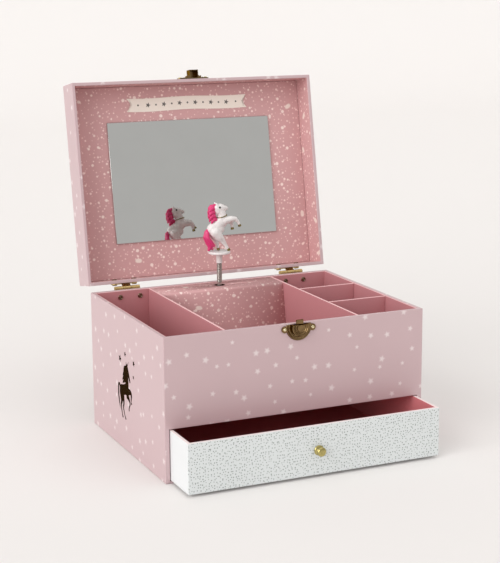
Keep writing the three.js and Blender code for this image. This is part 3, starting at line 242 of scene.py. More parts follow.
cells = add_node(printed_motif, "ShaderNodeTexVoronoi", {
    "Vector": given["Vector"], "Scale": motif("DIVIDE", 1.0, given["Spacing"]),
    "Randomness": given["Looseness"]}, voronoi_dimensions="2D")
offset = add_node(printed_motif, "ShaderNodeVectorMath", {
    0: given["Vector"], 1: cells.outputs["Position"]}, operation="SUBTRACT")
away = add_node(printed_motif, "ShaderNodeSeparateXYZ", {0: offset.outputs[0]}).outputs
draws = add_node(printed_motif, "ShaderNodeSeparateColor", {0: cells.outputs["Color"]}).outputs
reach = motif("SQRT", motif("ADD", motif("POWER", away[0], 2.0), motif("POWER", away[1], 2.0)))
angle = motif("ADD", motif("ARCTAN2", away[1], away[0]), motif("MULTIPLY", draws[0], WHOLE_TURN))
petals = motif("MULTIPLY", motif("COSINE", motif("MULTIPLY", angle, given["Points"])), given["Waist"])
size_share = motif("SUBTRACT", 1.0, motif("MULTIPLY", draws[1], given["Unevenness"]))
edge = motif("MULTIPLY", given["Radius"], motif("MULTIPLY", motif("ADD", 1.0, petals), size_share))
fade = add_node(printed_motif, "ShaderNodeMapRange", {
    "Value": motif("DIVIDE", reach, edge), "From Min": motif("SUBTRACT", 1.0, given["Softness"]),
    "From Max": motif("ADD", 1.0, given["Softness"]), "To Min": 1.0, "To Max": 0.0},
    interpolation_type="SMOOTHSTEP")
kept = motif("LESS_THAN", draws[2], given["Share"])
printed_motif.links.new(motif("MULTIPLY", fade.outputs[0], kept), wanted["Mask"])


def paper(name, base, motifs=(), unrolled=True, contrast=0.05, roughness=0.72, gloss=0.25):
    """Printed paper; each motif is (ink colour, strength, settings of printed_motif)."""
    made, tree, shader = new_material(name)
    if unrolled:
        vector = add_node(tree, "ShaderNodeUVMap", uv_map="sheet").outputs[0]
    else:
        vector = object_places(tree)
    grain = add_node(tree, "ShaderNodeGroup", {"Vector": vector}, node_tree=paper_grain)
    light = [min(1.0, c * (1 + contrast)) for c in colour(base)[:3]] + [1.0]
    dark = [c * (1 - contrast) for c in colour(base)[:3]] + [1.0]
    shade = mix(tree, grain.outputs["Tint"], dark, light)
    for ink, strength, settings in motifs:
        sizes = dict(settings)
        shifted = add_node(tree, "ShaderNodeMapping", {
            "Vector": vector, "Location": sizes.pop("at", (0, 0, 0))})
        marks = add_node(tree, "ShaderNodeGroup", {"Vector": shifted.outputs[0], **sizes},
                         node_tree=printed_motif)
        shade = mix(tree, reckon(tree, "MULTIPLY", marks.outputs["Mask"], strength), shade, colour(ink))
    plug(tree, shader, {
        "Base Color": shade, "Roughness": roughness, "Specular IOR Level": gloss,
        "Normal": bumps(tree, grain.outputs["Height"], PAPER_TOOTH, 0.5)})
    return made


star_paper = paper("star_paper", "c6abae", [
    ("fbf6f4", 0.46, {"Spacing": 0.0182, "Radius": 0.0021, "Points": 5.0, "Waist": 0.20, "Share": 0.86,
                      "Softness": 0.7, "Unevenness": 0.4, "Looseness": 0.85})],
    roughness=0.36, gloss=0.8)
rose_paper = paper("rose_paper", "c4868a", unrolled=False)
# A paler copy of the rose paper for faces that look up: a painted highlight from the light above.
top_highlight_paper = paper("top_highlight_paper", "ecc0c1", unrolled=False)


def block(name, low, high, *materials):
    """A box between two corners."""
    low, high = Vector(low), Vector(high)
    shape = bmesh.new()
    corners = bmesh.ops.create_cube(shape, size=1.0)["verts"]
    bmesh.ops.scale(shape, vec=high - low, verts=corners)
    bmesh.ops.translate(shape, vec=(high + low) / 2, verts=corners)
    return new_object(name, shape, *materials)


ALONG = {"X": Matrix.Rotation(math.pi / 2, 4, "Y"), "Y": Matrix.Rotation(math.pi / 2, 4, "X"),
         "Z": Matrix.Identity(4)}


def rod(place, radius, length, axis="Z", sides=48):
    """A round bar along an axis, centred on a place."""
    shape = bmesh.new()
    bmesh.ops.create_cone(shape, cap_ends=True, segments=sides, radius1=radius, radius2=radius,
                          depth=length, matrix=Matrix.Translation(place) @ ALONG[axis])
    return new_object("rod", shape)


def settle(piece):
    """Bakes the modifiers of a piece into its mesh."""
    graph = bpy.context.evaluated_depsgraph_get()
    mesh = bpy.data.meshes.new_from_object(piece.evaluated_get(graph))
    piece.modifiers.clear()
    piece.data = mesh


def shape_with(piece, tool, operation):
    """Changes a piece with a tool object, and throws the tool away."""
    change = piece.modifiers.new("change", "BOOLEAN")
    change.operation = operation
    change.solver = "EXACT"
    change.object = tool
    settle(piece)
    bpy.data.objects.remove(tool)


def join(piece, tool):
    shape_with(piece, tool, "UNION")


def cut(piece, tool):
    shape_with(piece, tool, "DIFFERENCE")


def cut_box(piece, low, high):
    cut(piece, block("cut", low, high))


def drill(piece, x, z, radius, y0, y1):
    """Cuts a round hole along Y."""
    cut(piece, rod((x, (y0 + y1) / 2, z), radius, y1 - y0, "Y"))


def soften(piece, width, segments=2, angle=35):
    """Rounds the sharp edges of a piece and shades it smooth."""
    bevel = piece.modifiers.new("round", "BEVEL")
    bevel.width = width
    bevel.segments = segments
    bevel.limit_method = "ANGLE"
    bevel.angle_limit = math.radians(angle)
    bevel.harden_normals = True
    for face in piece.data.polygons:
        face.use_smooth = True
    settle(piece)


PRINT_STEP = (0.371, 0.533)


def unroll(piece):
    """Maps each face square on, in metres, with each side in its own part of the print."""
    layer = piece.data.uv_layers.get("sheet") or piece.data.uv_layers.new(name="sheet")
    for face in piece.data.polygons:
        axis = max(range(3), key=lambda i: abs(face.normal[i]))
        side = 2 * axis + (face.normal[axis] > 0)
        for loop in face.loop_indices:
            place = piece.data.vertices[piece.data.loops[loop].vertex_index].co
            u, v = [c for i, c in enumerate(place) if i != axis]
            layer.data[loop].uv = (u + side * PRINT_STEP[0], v + side * PRINT_STEP[1])


def sort_faces(piece, rule):
    """Gives each face the material number that rule(centre, normal) says."""
    for face in piece.data.polygons:
        face.material_index = rule(face.center, face.normal)


def finish_piece(piece, body, slot, *replaced):
    """Sets the body a piece rides on and hides the CAD nodes that it takes the place of. The slot is not
    used.

    What belongs to the lid is made on the shut lid, and is turned here to where the lid stands.
    """
    if body == "lid":
        piece.data.transform(lid_turn)
    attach(piece, body)
    if replaced:
        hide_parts(*replaced)


def repaint(material, *names):
    """Gives a material to CAD nodes that stay in view."""
    for name in names:
        coats = frame["nodes"][name].data.materials
        coats.clear()
        coats.append(material)


carcass_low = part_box("left_side_panel")[0]
carcass_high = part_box("right_side_panel")[1]
inner_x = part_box("right_side_panel")[0].x
inner_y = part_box("back_panel")[0].y
deck_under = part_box("drawer_deck")[0].z
deck_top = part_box("drawer_deck")[1].z
rim = carcass_high.z
arbor_z = (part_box("winding_arbor")[0].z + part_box("winding_arbor")[1].z) / 2
LINER_BOARD, ARBOR_HOLE, BEYOND = 1.0 * MM, 4 * MM, 10 * MM

carcass = block("carcass_wrap", carcass_low, carcass_high, star_paper, rose_paper, top_highlight_paper)
cut_box(carcass, (-inner_x, carcass_low.y - BEYOND, -BEYOND), (inner_x, inner_y, deck_under))
cut_box(carcass, (-inner_x, -inner_y, deck_under - 1 * MM), (inner_x, inner_y, deck_top + 1 * MM))
tray_x, tray_y = inner_x + LINER_BOARD, inner_y + LINER_BOARD
cut_box(carcass, (-tray_x, -tray_y, deck_top), (tray_x, tray_y, rim + BEYOND))
drill(carcass, 0, arbor_z, ARBOR_HOLE, inner_y - BEYOND, carcass_high.y + BEYOND)
soften(carcass, 0.5 * MM, 3)
sort_faces(carcass, lambda c, n: 0 if (abs(c.x) > tray_x + 1 * MM or abs(c.y) > tray_y + 1 * MM
                                       or c.z > rim - 0.6 * MM) else 1)
unroll(carcass)
finish_piece(carcass, "body", "star_paper",
             "left_side_panel", "right_side_panel", "back_panel", "front_panel")
repaint(paper("base_paper", "c6abae", unrolled=False), "base_panel")

# ---- Tray ----
# Thin boards covered in plain dusty rose paper make the bays. A liner of the same board runs round
# the inside of the walls just below the rim, and every face that looks up gets a paler copy of the paper: a
# painted highlight from the light above.
LINER_DROP = 0.45 * MM


def highlight_facing_up(_, normal):
    """The paler paper, a painted highlight, where a face looks up, and the plain one elsewhere."""
    return int(normal.z > 0.3)


liner = block("tray_liner", (-tray_x, -tray_y, deck_top), (tray_x, tray_y, rim - LINER_DROP),
              rose_paper, top_highlight_paper)
cut_box(liner, (-inner_x, -inner_y, deck_top - BEYOND), (inner_x, inner_y, rim + BEYOND))
drill(liner, 0, arbor_z, ARBOR_HOLE, inner_y - BEYOND, carcass_high.y + BEYOND)
soften(liner, 0.25 * MM)
sort_faces(liner, highlight_facing_up)
finish_piece(liner, "body", "rose_paper")
for name in ("left_divider", "right_divider", "rear_cross_divider", "front_cross_divider"):
    board = block(name + "_board", *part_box(name), rose_paper, top_highlight_paper)
    soften(board, 0.4 * MM, 3)
    sort_faces(board, highlight_facing_up)
    finish_piece(board, "body", "rose_paper", name)
repaint(rose_paper, "drawer_deck")

# ---- Cover over the movement ----
# One card, folded: a ledge under the hinges with a hole for the spindle, and a front that leans
# out to the tray floor. It is covered in the dusty pink paper with white dots that lines the lid.
DOTS = [
    ("f2d5d1", 0.75, {"Spacing": 0.0046, "Radius": 0.00078, "Share": 0.9, "Softness": 0.45,
                      "Unevenness": 0.6, "Looseness": 1.0, "at": (0.53, 0.41, 0)}),
    ("f7e0db", 0.85, {"Spacing": 0.0088, "Radius": 0.00115, "Share": 0.85, "Softness": 0.35,
                      "Unevenness": 0.5, "Looseness": 1.0}),
    ("f8e6df", 0.85, {"Spacing": 0.0175, "Radius": 0.0016, "Share": 0.8, "Softness": 0.35,
                      "Unevenness": 0.4, "Looseness": 1.0, "at": (0.31, 0.17, 0)}),
    ("f1e4da", 0.85, {"Spacing": 0.046, "Radius": 0.0027, "Points": 2.0, "Waist": 0.25, "Share": 0.75,
                      "Softness": 0.3, "Unevenness": 0.2, "Looseness": 0.9, "at": (0.07, 0.29, 0)})]
dotted_paper = paper("dotted_paper", "cfa2a2", DOTS)
RIBBON_PRINT = (0.21, 0.13)


def ribbon(name, path, thickness, x0, x1, *materials):
    """A bent strip: a path of (y, z) points, given thickness, run along X, with its map unrolled."""
    normals = []
    for i, point in enumerate(path):
        before, after = Vector(path[max(i - 1, 0)]), Vector(path[min(i + 1, len(path) - 1)])
        along = (after - before).normalized()
        normals.append(Vector((-along.y, along.x)))
    outer = [Vector(p) + n * thickness / 2 for p, n in zip(path, normals)]
    inner = [Vector(p) - n * thickness / 2 for p, n in zip(path, normals)]
    lengths = [0.0]
    for a, b in zip(path, path[1:]):
        lengths.append(lengths[-1] + (Vector(b) - Vector(a)).length)
    ring = outer + inner[::-1]
    runs = lengths + lengths[::-1]
    shape = bmesh.new()
    layer = shape.loops.layers.uv.new("sheet")
    ends = [[shape.verts.new((x, p.x, p.y)) for p in ring] for x in (x0, x1)]
    for i in range(len(ring)):
        j = (i + 1) % len(ring)
        face = shape.faces.new((ends[0][i], ends[0][j], ends[1][j], ends[1][i]))
        places = ((x0, runs[i]), (x0, runs[j]), (x1, runs[j]), (x1, runs[i]))
        for loop, (u, v) in zip(face.loops, places):
            loop[layer].uv = (u + RIBBON_PRINT[0], v + RIBBON_PRINT[1])
        face.smooth = True
    last = len(path) - 1
    for end in ends:
        for i in range(last):
            shape.faces.new((end[i], end[i + 1], end[-2 - i], end[-1 - i]))
    bmesh.ops.recalc_face_normals(shape, faces=shape.faces)
    return new_object(name, shape, *materials)


cover_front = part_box("movement_cover_front")
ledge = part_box("movement_cover_top")
CARD, FOLD_RADIUS, FOLD_STEPS = 1.5 * MM, 1.6 * MM, 8
HOLE_RADIUS, HOLE_DEPTH = 4.8 * MM, 8 * MM
card_foot = Vector((cover_front[0].y + CARD / 2, cover_front[0].z))
card_fold = Vector((ledge[0].y + CARD / 2, ledge[1].z - CARD / 2))
card_back = Vector((ledge[1].y, ledge[1].z - CARD / 2))
fold_path = [card_foot, card_foot.lerp(card_fold, 0.5)]
down = (card_foot - card_fold).normalized()
out = (card_back - card_fold).normalized()
for i in range(FOLD_STEPS + 1):
    t = i / FOLD_STEPS
    start, end = card_fold + down * FOLD_RADIUS, card_fold + out * FOLD_RADIUS
    fold_path.append((1 - t) ** 2 * start + 2 * t * (1 - t) * card_fold + t * t * end)
fold_path += [card_fold.lerp(card_back, 0.5), card_back]
# The wall of the spindle hole gets a dark brown. It is the cut card, darkened as painted shade inside the
# hole.
hole_shade_card = paper("hole_shade_card", "4f2a26", unrolled=False)
cover = ribbon("movement_cover_card", fold_path, CARD, ledge[0].x, ledge[1].x, dotted_paper, hole_shade_card)
spindle_y = (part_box("spindle")[0].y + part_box("spindle")[1].y) / 2
cut(cover, rod((0, spindle_y, ledge[1].z), HOLE_RADIUS, HOLE_DEPTH))
sort_faces(cover, lambda c, n: int(abs(n.z) < 0.5
                                   and math.hypot(c.x, c.y - spindle_y) < HOLE_RADIUS * 1.01))
finish_piece(cover, "body", "lining_paper", "movement_cover_top", "movement_cover_front")

# ---- Lid ----
# A shallow tray of board in the star paper, lined with a dotted panel. It is made shut and then
# turned back about the hinge pins to where it stands open.
hinge = next(j for j in frame["joints"] if j["name"] == "lid_hinge")
pin_at = Vector(hinge["pos_m"])
lid_turn = (Matrix.Translation(pin_at) @ Matrix.Rotation(-math.radians(hinge["range_deg"][1]), 4, "X")
            @ Matrix.Translation(-pin_at))
half_x, half_y = carcass_high.x, carcass_high.y
LID_SEAM, LID_HEIGHT, LID_WALL, LID_BOARD = 0.3 * MM, 27.5 * MM, 3 * MM, 2.4 * MM
LINING, LINING_GAP = 0.8 * MM, 0.3 * MM
lid_low = rim + LID_SEAM
lid_high = lid_low + LID_HEIGHT
lining_face = lid_high - LID_BOARD - LINING_GAP - LINING
wall_x, wall_y = half_x - LID_WALL, half_y - LID_WALL

lid_shell = block("lid_wrap", (-half_x, -half_y, lid_low), (half_x, half_y, lid_high),
                  star_paper, dotted_paper)
cut_box(lid_shell, (-wall_x, -wall_y, lid_low - BEYOND), (wall_x, wall_y, lid_high - LID_BOARD))
soften(lid_shell, 0.5 * MM, 3)
sort_faces(lid_shell, lambda c, n: int(abs(c.x) < wall_x + 0.2 * MM and abs(c.y) < wall_y + 0.2 * MM
                                       and lid_low + 0.6 * MM < c.z < lid_high - 1 * MM))
unroll(lid_shell)
finish_piece(lid_shell, "lid", "star_paper", "lid_rim", "lid_top_panel")

lining = block("lid_lining_panel", (-wall_x + LINING_GAP, -wall_y + LINING_GAP, lining_face),
               (wall_x - LINING_GAP, wall_y - LINING_GAP, lining_face + LINING), dotted_paper)
soften(lining, 0.2 * MM)
unroll(lining)
finish_piece(lining, "lid", "lining_paper", "lid_lining")

# ---- Mirror ----
# A flat silvered glass glued to the lining, with a narrow ground edge. Its silvering is a light
# grey that hazes a little from place to place.
MIRROR_X, MIRROR_Y0, MIRROR_Y1 = 82.5 * MM, -56.5 * MM, 57 * MM
GLASS, GLASS_GAP = 1.5 * MM, 0.1 * MM
silvering, silver_tree, silver_shader = new_material("silvered_glass")
haze = noise(silver_tree, object_places(silver_tree), 35.0, 4.0)
plug(silver_tree, silver_shader, {
    "Base Color": mix(silver_tree, haze, colour("d0d1cf"), colour("d6d7d5")),
    "Roughness": between(silver_tree, haze, 0.015, 0.045), "Metallic": 1.0})
glass = block("mirror_glass", (-MIRROR_X, MIRROR_Y0, lining_face - GLASS_GAP - GLASS),
              (MIRROR_X, MIRROR_Y1, lining_face - GLASS_GAP), silvering)
soften(glass, 0.45 * MM, 1)
for face in glass.data.polygons:
    face.use_smooth = False
finish_piece(glass, "lid", "mirror_glass", "mirror")

# ---- Banner ----
# A cream card ribbon with swallow-tail ends, glued above the mirror, printed with a row of small
# stars and dots.
BANNER_HALF, BANNER_NEAR, BANNER_FAR, BANNER_NOTCH = 61 * MM, -65.7 * MM, -78.2 * MM, 5 * MM
BANNER_CARD, BANNER_GAP, BANNER_WAVE, INK_GAP = 0.4 * MM, 0.1 * MM, 0.5 * MM, 0.05 * MM
BANNER_STEPS, NOTCH_STEEPNESS = 48, 40
banner_card = paper("banner_card", "f1e7dc", contrast=0.06)
banner_ink = paper("banner_ink", "6d6a66", unrolled=False, contrast=0.2)
banner_middle = (BANNER_FAR + BANNER_NEAR) / 2
banner_z = lining_face - BANNER_GAP - BANNER_CARD


def banner_wave(x):
    """How far the ribbon waves at x: one and a half waves along its length."""
    return BANNER_WAVE * math.sin(3 * math.pi * (x + BANNER_HALF) / (2 * BANNER_HALF))


banner_shape = bmesh.new()
banner_rows = []
for i in range(BANNER_STEPS + 1):
    x = -BANNER_HALF + 2 * BANNER_HALF * i / BANNER_STEPS
    end_drop = BANNER_NOTCH * (abs(x) / BANNER_HALF) ** NOTCH_STEEPNESS
    middle = x - math.copysign(end_drop, x)
    banner_rows.append([
        banner_shape.verts.new((px, y + banner_wave(x), banner_z))
        for px, y in ((x, BANNER_FAR), (middle, banner_middle), (x, BANNER_NEAR))])
for a, b in zip(banner_rows, banner_rows[1:]):
    for k in range(2):
        banner_shape.faces.new((a[k], a[k + 1], b[k + 1], b[k]))
bmesh.ops.recalc_face_normals(banner_shape, faces=banner_shape.faces)
banner = new_object("banner_ribbon", banner_shape, banner_card)
if banner.data.polygons[0].normal.z > 0:
    banner.data.flip_normals()
thicken = banner.modifiers.new("card", "SOLIDIFY")
thicken.thickness = BANNER_CARD * 0.9
thicken.offset = -1
settle(banner)
unroll(banner)
finish_piece(banner, "lid", "banner_card", "banner_label")


def shape_tree(name, inputs):
    """A Geometry Nodes tree with named sizes; gives the tree, its inputs and its output."""
    tree = bpy.data.node_groups.new(name, "GeometryNodeTree")
    tree.interface.new_socket("Geometry", in_out="INPUT", socket_type="NodeSocketGeometry")
    for label, value in inputs.items():
        kind = "NodeSocketMaterial" if label == "Material" else "NodeSocketFloat"
        socket = tree.interface.new_socket(label, in_out="INPUT", socket_type=kind)
        if kind == "NodeSocketFloat":
            socket.default_value = value
    tree.interface.new_socket("Geometry", in_out="OUTPUT", socket_type="NodeSocketGeometry")
    return tree, tree.nodes.new("NodeGroupInput").outputs, tree.nodes.new("NodeGroupOutput").inputs[0]


def shape_node(tree, kind, sockets):
    """Adds a Geometry Nodes node and gives its first output."""
    return add_node(tree, "GeometryNode" + kind, sockets).outputs[0]


def gather(tree, *parts):
    """Several shapes of a tree as one."""
    whole = add_node(tree, "GeometryNodeJoinGeometry")
    for part in parts:
        tree.links.new(part, whole.inputs[0])
    return whole.outputs[0]


def spread(tree, given, wanted, instance, smooth=False):
    """Ends a tree: one instance at each point, made real, in the given material."""
    if smooth:
        instance = shape_node(tree, "SetShadeSmooth", {0: instance})
    placed = shape_node(tree, "InstanceOnPoints", {"Points": given["Geometry"], "Instance": instance})
    real = shape_node(tree, "RealizeInstances", {0: placed})
    coated = shape_node(tree, "SetMaterial", {"Geometry": real, "Material": given["Material"]})
    tree.links.new(coated, wanted)


def grow(name, points, tree, material, **sizes):
    """A piece that a tree makes at the given points, as one plain mesh."""
    shape = bmesh.new()
    for point in points:
        shape.verts.new(point)
    made = new_object(name, shape)
    modifier = made.modifiers.new("grow", "NODES")
    modifier.node_group = tree
    for item in tree.interface.items_tree:
        if item.in_out == "INPUT" and item.name in sizes:
            modifier[item.identifier] = sizes[item.name]
        elif item.in_out == "INPUT" and item.name == "Material":
            modifier[item.identifier] = material
    settle(made)
    return made


flat_star, given, wanted = shape_tree("flat_star", {
    "Outer": 0.002, "Inner": 0.001, "Thickness": 0.00006, "Material": None})
star_curve = shape_node(flat_star, "CurveStar", {
    "Points": 5, "Inner Radius": given["Inner"], "Outer Radius": given["Outer"]})
star_face = shape_node(flat_star, "FillCurve", {0: star_curve})
star_raised = shape_node(flat_star, "ExtrudeMesh", {
    "Mesh": star_face, "Offset Scale": given["Thickness"], "Individual": False})
star_under = shape_node(flat_star, "FlipFaces", {0: star_face})
spread(flat_star, given, wanted, gather(flat_star, star_raised, star_under))

def printed_row(places):
    """Places in mm along the middle of the ribbon, just above its face."""
    return [(x * MM, banner_middle + banner_wave(x * MM), banner_z - INK_GAP) for x in places]


for label, places, radius, waist in (("banner_stars", range(-40, 41, 16), 2.6, 1.15),
                                     ("banner_dots", (-50, -32, -16, 0, 16, 32, 50), 1.0, 0.8)):
    marks = grow(label, printed_row(places), flat_star, banner_ink,
                 Outer=radius * MM, Inner=waist * MM, Thickness=0.04 * MM)
    finish_piece(marks, "lid", "banner_card")

# ---- Foil motif on the left side ----
# A small prancing unicorn and four stars, hot-stamped in dark bronze foil that stands just proud
# of the paper. It is drawn flat, facing right, and then laid on the wall.


def metal(name, bright, dull, roughness, patina=0.35, patina_scale=160.0, unevenness=0.08,
          edge="ffffff"):
    """Metal with a duller film in its lows and fine rubbed scratches."""
    made, tree, shader = new_material(name)
    wear = add_node(tree, "ShaderNodeGroup", {
        "Vector": object_places(tree), "Patina Scale": patina_scale}, node_tree=metal_wear).outputs
    film = reckon(tree, "MULTIPLY", wear["Film"], patina)
    plug(tree, shader, {
        "Base Color": mix(tree, film, colour(bright), colour(dull)),
        "Roughness": between(tree, wear["Film"], roughness - unevenness, roughness + unevenness),
        "Normal": bumps(tree, wear["Height"], SCRATCH_DEPTH, 0.35),
        "Metallic": 1.0, "Specular Tint": colour(edge)})
    return made


SCRATCH_DEPTH = 0.01 * MM
metal_wear, given, wanted = shader_group(
    "metal_wear", {"Vector": None, "Scratch Scale": 1400.0, "Patina Scale": 160.0}, ("Film", "Height"))
film_range = add_node(metal_wear, "ShaderNodeMapRange", {
    "Value": noise(metal_wear, given["Vector"], given["Patina Scale"], 5.0, 0.65),
    "From Min": 0.35, "From Max": 0.65})
stretched = add_node(metal_wear, "ShaderNodeMapping", {"Vector": given["Vector"], "Scale": (1.0, 1.0, 0.12)})
scratches = noise(metal_wear, stretched.outputs[0], given["Scratch Scale"], 2.0)
metal_wear.links.new(film_range.outputs[0], wanted["Film"])
metal_wear.links.new(scratches, wanted["Height"])

bronze_foil = metal("bronze_foil", "5f503a", "382e20", 0.4, 0.6, 300.0, edge="74654e")
FOIL, FOIL_STEP = 0.06 * MM, 0.01
foil_place = Matrix(((0, 0, -1, -half_x), (-1, 0, 0, 0), (0, 1, 0, 0), (0, 0, 0, 1)))


def brush_stroke(points, cap=6):
    """The outline of a stroke through (x, y, half width) points, with round ends."""
    left, right, caps = [], [], []
    for i, (x, y, w) in enumerate(points):
        before, after = points[max(i - 1, 0)], points[min(i + 1, len(points) - 1)]
        along = Vector((after[0] - before[0], after[1] - before[1])).normalized() * w
        side = Vector((-along.y, along.x))
        left.append(Vector((x, y)) + side)
        right.append(Vector((x, y)) - side)
        caps.append([Vector((x, y)) + along * math.cos(a) + side * math.sin(a)
                     for a in (math.pi * (0.5 - k / cap) for k in range(1, cap))])
    start = [2 * Vector(points[0][:2]) - p for p in caps[0]]
    return left + caps[-1] + right[::-1] + start


def smooth_line(points, steps=5):
    """More points along a line, on a curve through the given ones."""
    full = [points[0]] + list(points) + [points[-1]]
    out = []
    for i in range(1, len(full) - 2):
        p0, p1, p2, p3 = (Vector(full[i + k - 1]) for k in range(4))
        for k in range(steps):
            t = k / steps
            out.append(0.5 * ((2 * p1) + (p2 - p0) * t + (2 * p0 - 5 * p1 + 4 * p2 - p3) * t * t
                              + (3 * p1 - p0 - 3 * p2 + p3) * t ** 3))
    return out + [Vector(points[-1])]


def flat_shape(name, points, thickness, *materials):
    """An outline in X and Y, raised along Z."""
    shape = bmesh.new()
    face = shape.faces.new([shape.verts.new((p[0], p[1], 0)) for p in points])
    made = bmesh.ops.extrude_face_region(shape, geom=[face])["geom"]
    bmesh.ops.translate(shape, vec=(0, 0, thickness),
                        verts=[v for v in made if isinstance(v, bmesh.types.BMVert)])
    bmesh.ops.recalc_face_normals(shape, faces=shape.faces)
    return new_object(name, shape, *materials)


UNICORN = [
    [(-12, 52.5, 5.4), (-6, 54.5, 4.6), (1, 56.5, 5.2)],
    [(1, 57, 4.8), (2.8, 65, 3.2), (1.8, 72, 2.7), (2.4, 76.4, 2.4)],
    [(2.2, 77.0, 2.4), (6.2, 71.0, 1.9), (9.6, 65.4, 1.2)],
    [(1.2, 78, 1.0), (0.6, 80.8, 0.2)],
    [(3.4, 77.6, 0.7), (7.0, 82.4, 0.12)],
    [(-13, 50.5, 4.6), (-12.6, 43, 2.2), (-14.2, 38.6, 1.3), (-12.0, 31.0, 0.8), (-10.4, 29.0, 1.1)],
    [(-10, 50, 4.2), (-7.4, 42.6, 1.8), (-8.4, 37.5, 1.1), (-5.0, 31.0, 0.75), (-3.2, 29.0, 1.05)],
    [(3, 55, 3.6), (9.4, 56.0, 2.4), (12.4, 54.0, 1.8), (11.8, 48.4, 0.8), (12.6, 46.4, 1.0)],
    [(3, 51, 3.4), (6.6, 48.6, 1.7), (9.0, 45.4, 1.0), (6.4, 41.0, 0.8), (6.0, 39.0, 1.0)],
    [(-15.4, 54.4, 1.3), (-17.8, 57.0, 1.3), (-20.2, 55.6, 1.2), (-20.6, 48, 1.3), (-19.0, 41, 1.1),
     (-17.0, 34.6, 0.15)],
    [(0.0, 75.6, 1.9), (-3.8, 74.6, 1.6), (-6.6, 71.4, 0.2)],
    [(-0.2, 72.0, 2.0), (-5.0, 70.4, 1.7), (-8.6, 66.8, 0.2)],
    [(0.0, 68.4, 2.1), (-5.8, 66.2, 1.8), (-9.8, 62.6, 0.2)],
    [(-0.4, 64.6, 2.2), (-6.0, 62.4, 1.6), (-9.2, 59.6, 0.2)]]
foil = None
for i, line in enumerate(UNICORN):
    outline = [p * MM for p in brush_stroke([tuple(p) for p in smooth_line(line)])]
    stroke = flat_shape("foil_unicorn", outline, FOIL * (1 + FOIL_STEP * i), bronze_foil)
    if foil is None:
        foil = stroke
    else:
        join(foil, stroke)
foil.data.transform(foil_place)
finish_piece(foil, "body", "aged_brass")
STAR_WAIST = 0.45
for i, (x, y, radius) in enumerate(((-14.9, 80.5, 3.6), (-1.5, 87.3, 2.6), (20.2, 83.9, 3.0),
                                    (18.8, 71.5, 2.0))):
    star = grow(f"foil_star_{i + 1}", [(x * MM, y * MM, 0)], flat_star, bronze_foil,
                Outer=radius * MM, Inner=radius * STAR_WAIST * MM, Thickness=FOIL)
    star.data.transform(foil_place)
    finish_piece(star, "body", "aged_brass")

# ---- Hinges ----
# Two gilt butt hinges of pressed steel, rolled round a pin behind the back wall. Each leaf is held
# by two hollow rivets that go through the board and are rolled over on the inside.
gilt = metal("gilt_steel", "d9bd83", "a3854f", 0.28, 0.4)
rivet_metal = metal("rivet_metal", "9d8873", "5f4c3f", 0.26, 0.4)
HINGE_X, HINGE_HALF, KNUCKLE_HALF = 83.5 * MM, 12 * MM, 4 * MM
LEAF, LEAF_Y = 0.8 * MM, half_y + 0.7 * MM
LEAF_REACH, LEAF_BEND, ROLL_RADIUS = 12.5 * MM, 3.6 * MM, 1.5 * MM
CORNER, KNUCKLE_GAP = 2.2 * MM, 0.2 * MM


def rounded_plate(name, x0, x1, z0, z1, y0, y1, corner, *materials):
    """A plate that faces Y with four round corners."""
    outline = []
    for cx, cz, start in ((x1 - corner, z1 - corner, 0), (x0 + corner, z1 - corner, 90),
                          (x0 + corner, z0 + corner, 180), (x1 - corner, z0 + corner, 270)):
        outline += [Vector((cx + corner * math.cos(math.radians(start + a)),
                            cz + corner * math.sin(math.radians(start + a)))) for a in range(0, 91, 15)]
    plate = flat_shape(name, outline, y1 - y0, *materials)
    plate.data.transform(Matrix(((1, 0, 0, 0), (0, 0, -1, y1), (0, 1, 0, 0), (0, 0, 0, 1))))
    return plate


def hinge_leaf(name, x, up):
    """A leaf that bends in and rolls round the pin; up is -1 on the body and 1 on the lid."""
    bend_z, edge_z = pin_at.z + up * LEAF_BEND, pin_at.z + up * LEAF_REACH
    leaf = rounded_plate(name, x - HINGE_HALF, x + HINGE_HALF, min(bend_z, edge_z), max(bend_z, edge_z),
                         LEAF_Y - LEAF / 2, LEAF_Y + LEAF / 2, CORNER, gilt)
    rise = [(LEAF_Y, bend_z + up * 3 * MM), (LEAF_Y, bend_z), (LEAF_Y + 0.25 * MM, bend_z - up * 0.5 * MM),
            (pin_at.y - ROLL_RADIUS - 0.3 * MM, pin_at.z + up * 1.6 * MM),
            (pin_at.y - ROLL_RADIUS, pin_at.z + up * 0.9 * MM)]
    roll = [(pin_at.y + ROLL_RADIUS * math.cos(a), pin_at.z - up * ROLL_RADIUS * math.sin(a))
            for a in (math.radians(d) for d in range(180, -111, -15))]
    if up < 0:
        spans = ((-HINGE_HALF, -KNUCKLE_HALF - KNUCKLE_GAP), (KNUCKLE_HALF + KNUCKLE_GAP, HINGE_HALF))
    else:
        spans = ((-KNUCKLE_HALF, KNUCKLE_HALF),)
    for a, b in spans:
        join(leaf, ribbon("knuckle", rise + roll, LEAF * 0.98, x + a, x + b, gilt))
    soften(leaf, 0.12 * MM, 2, 50)
    return leaf


for word, side in (("left", -1), ("right", 1)):
    body_leaf = hinge_leaf(f"{word}_hinge_body_plate", side * HINGE_X, -1)
    finish_piece(body_leaf, "body", "gilt_steel", f"{word}_hinge_body_leaf")
    lid_leaf = hinge_leaf(f"{word}_hinge_lid_plate", side * HINGE_X, 1)
    finish_piece(lid_leaf, "lid", "gilt_steel", f"{word}_hinge_lid_leaf")
    repaint(gilt, f"{word}_hinge_pin")

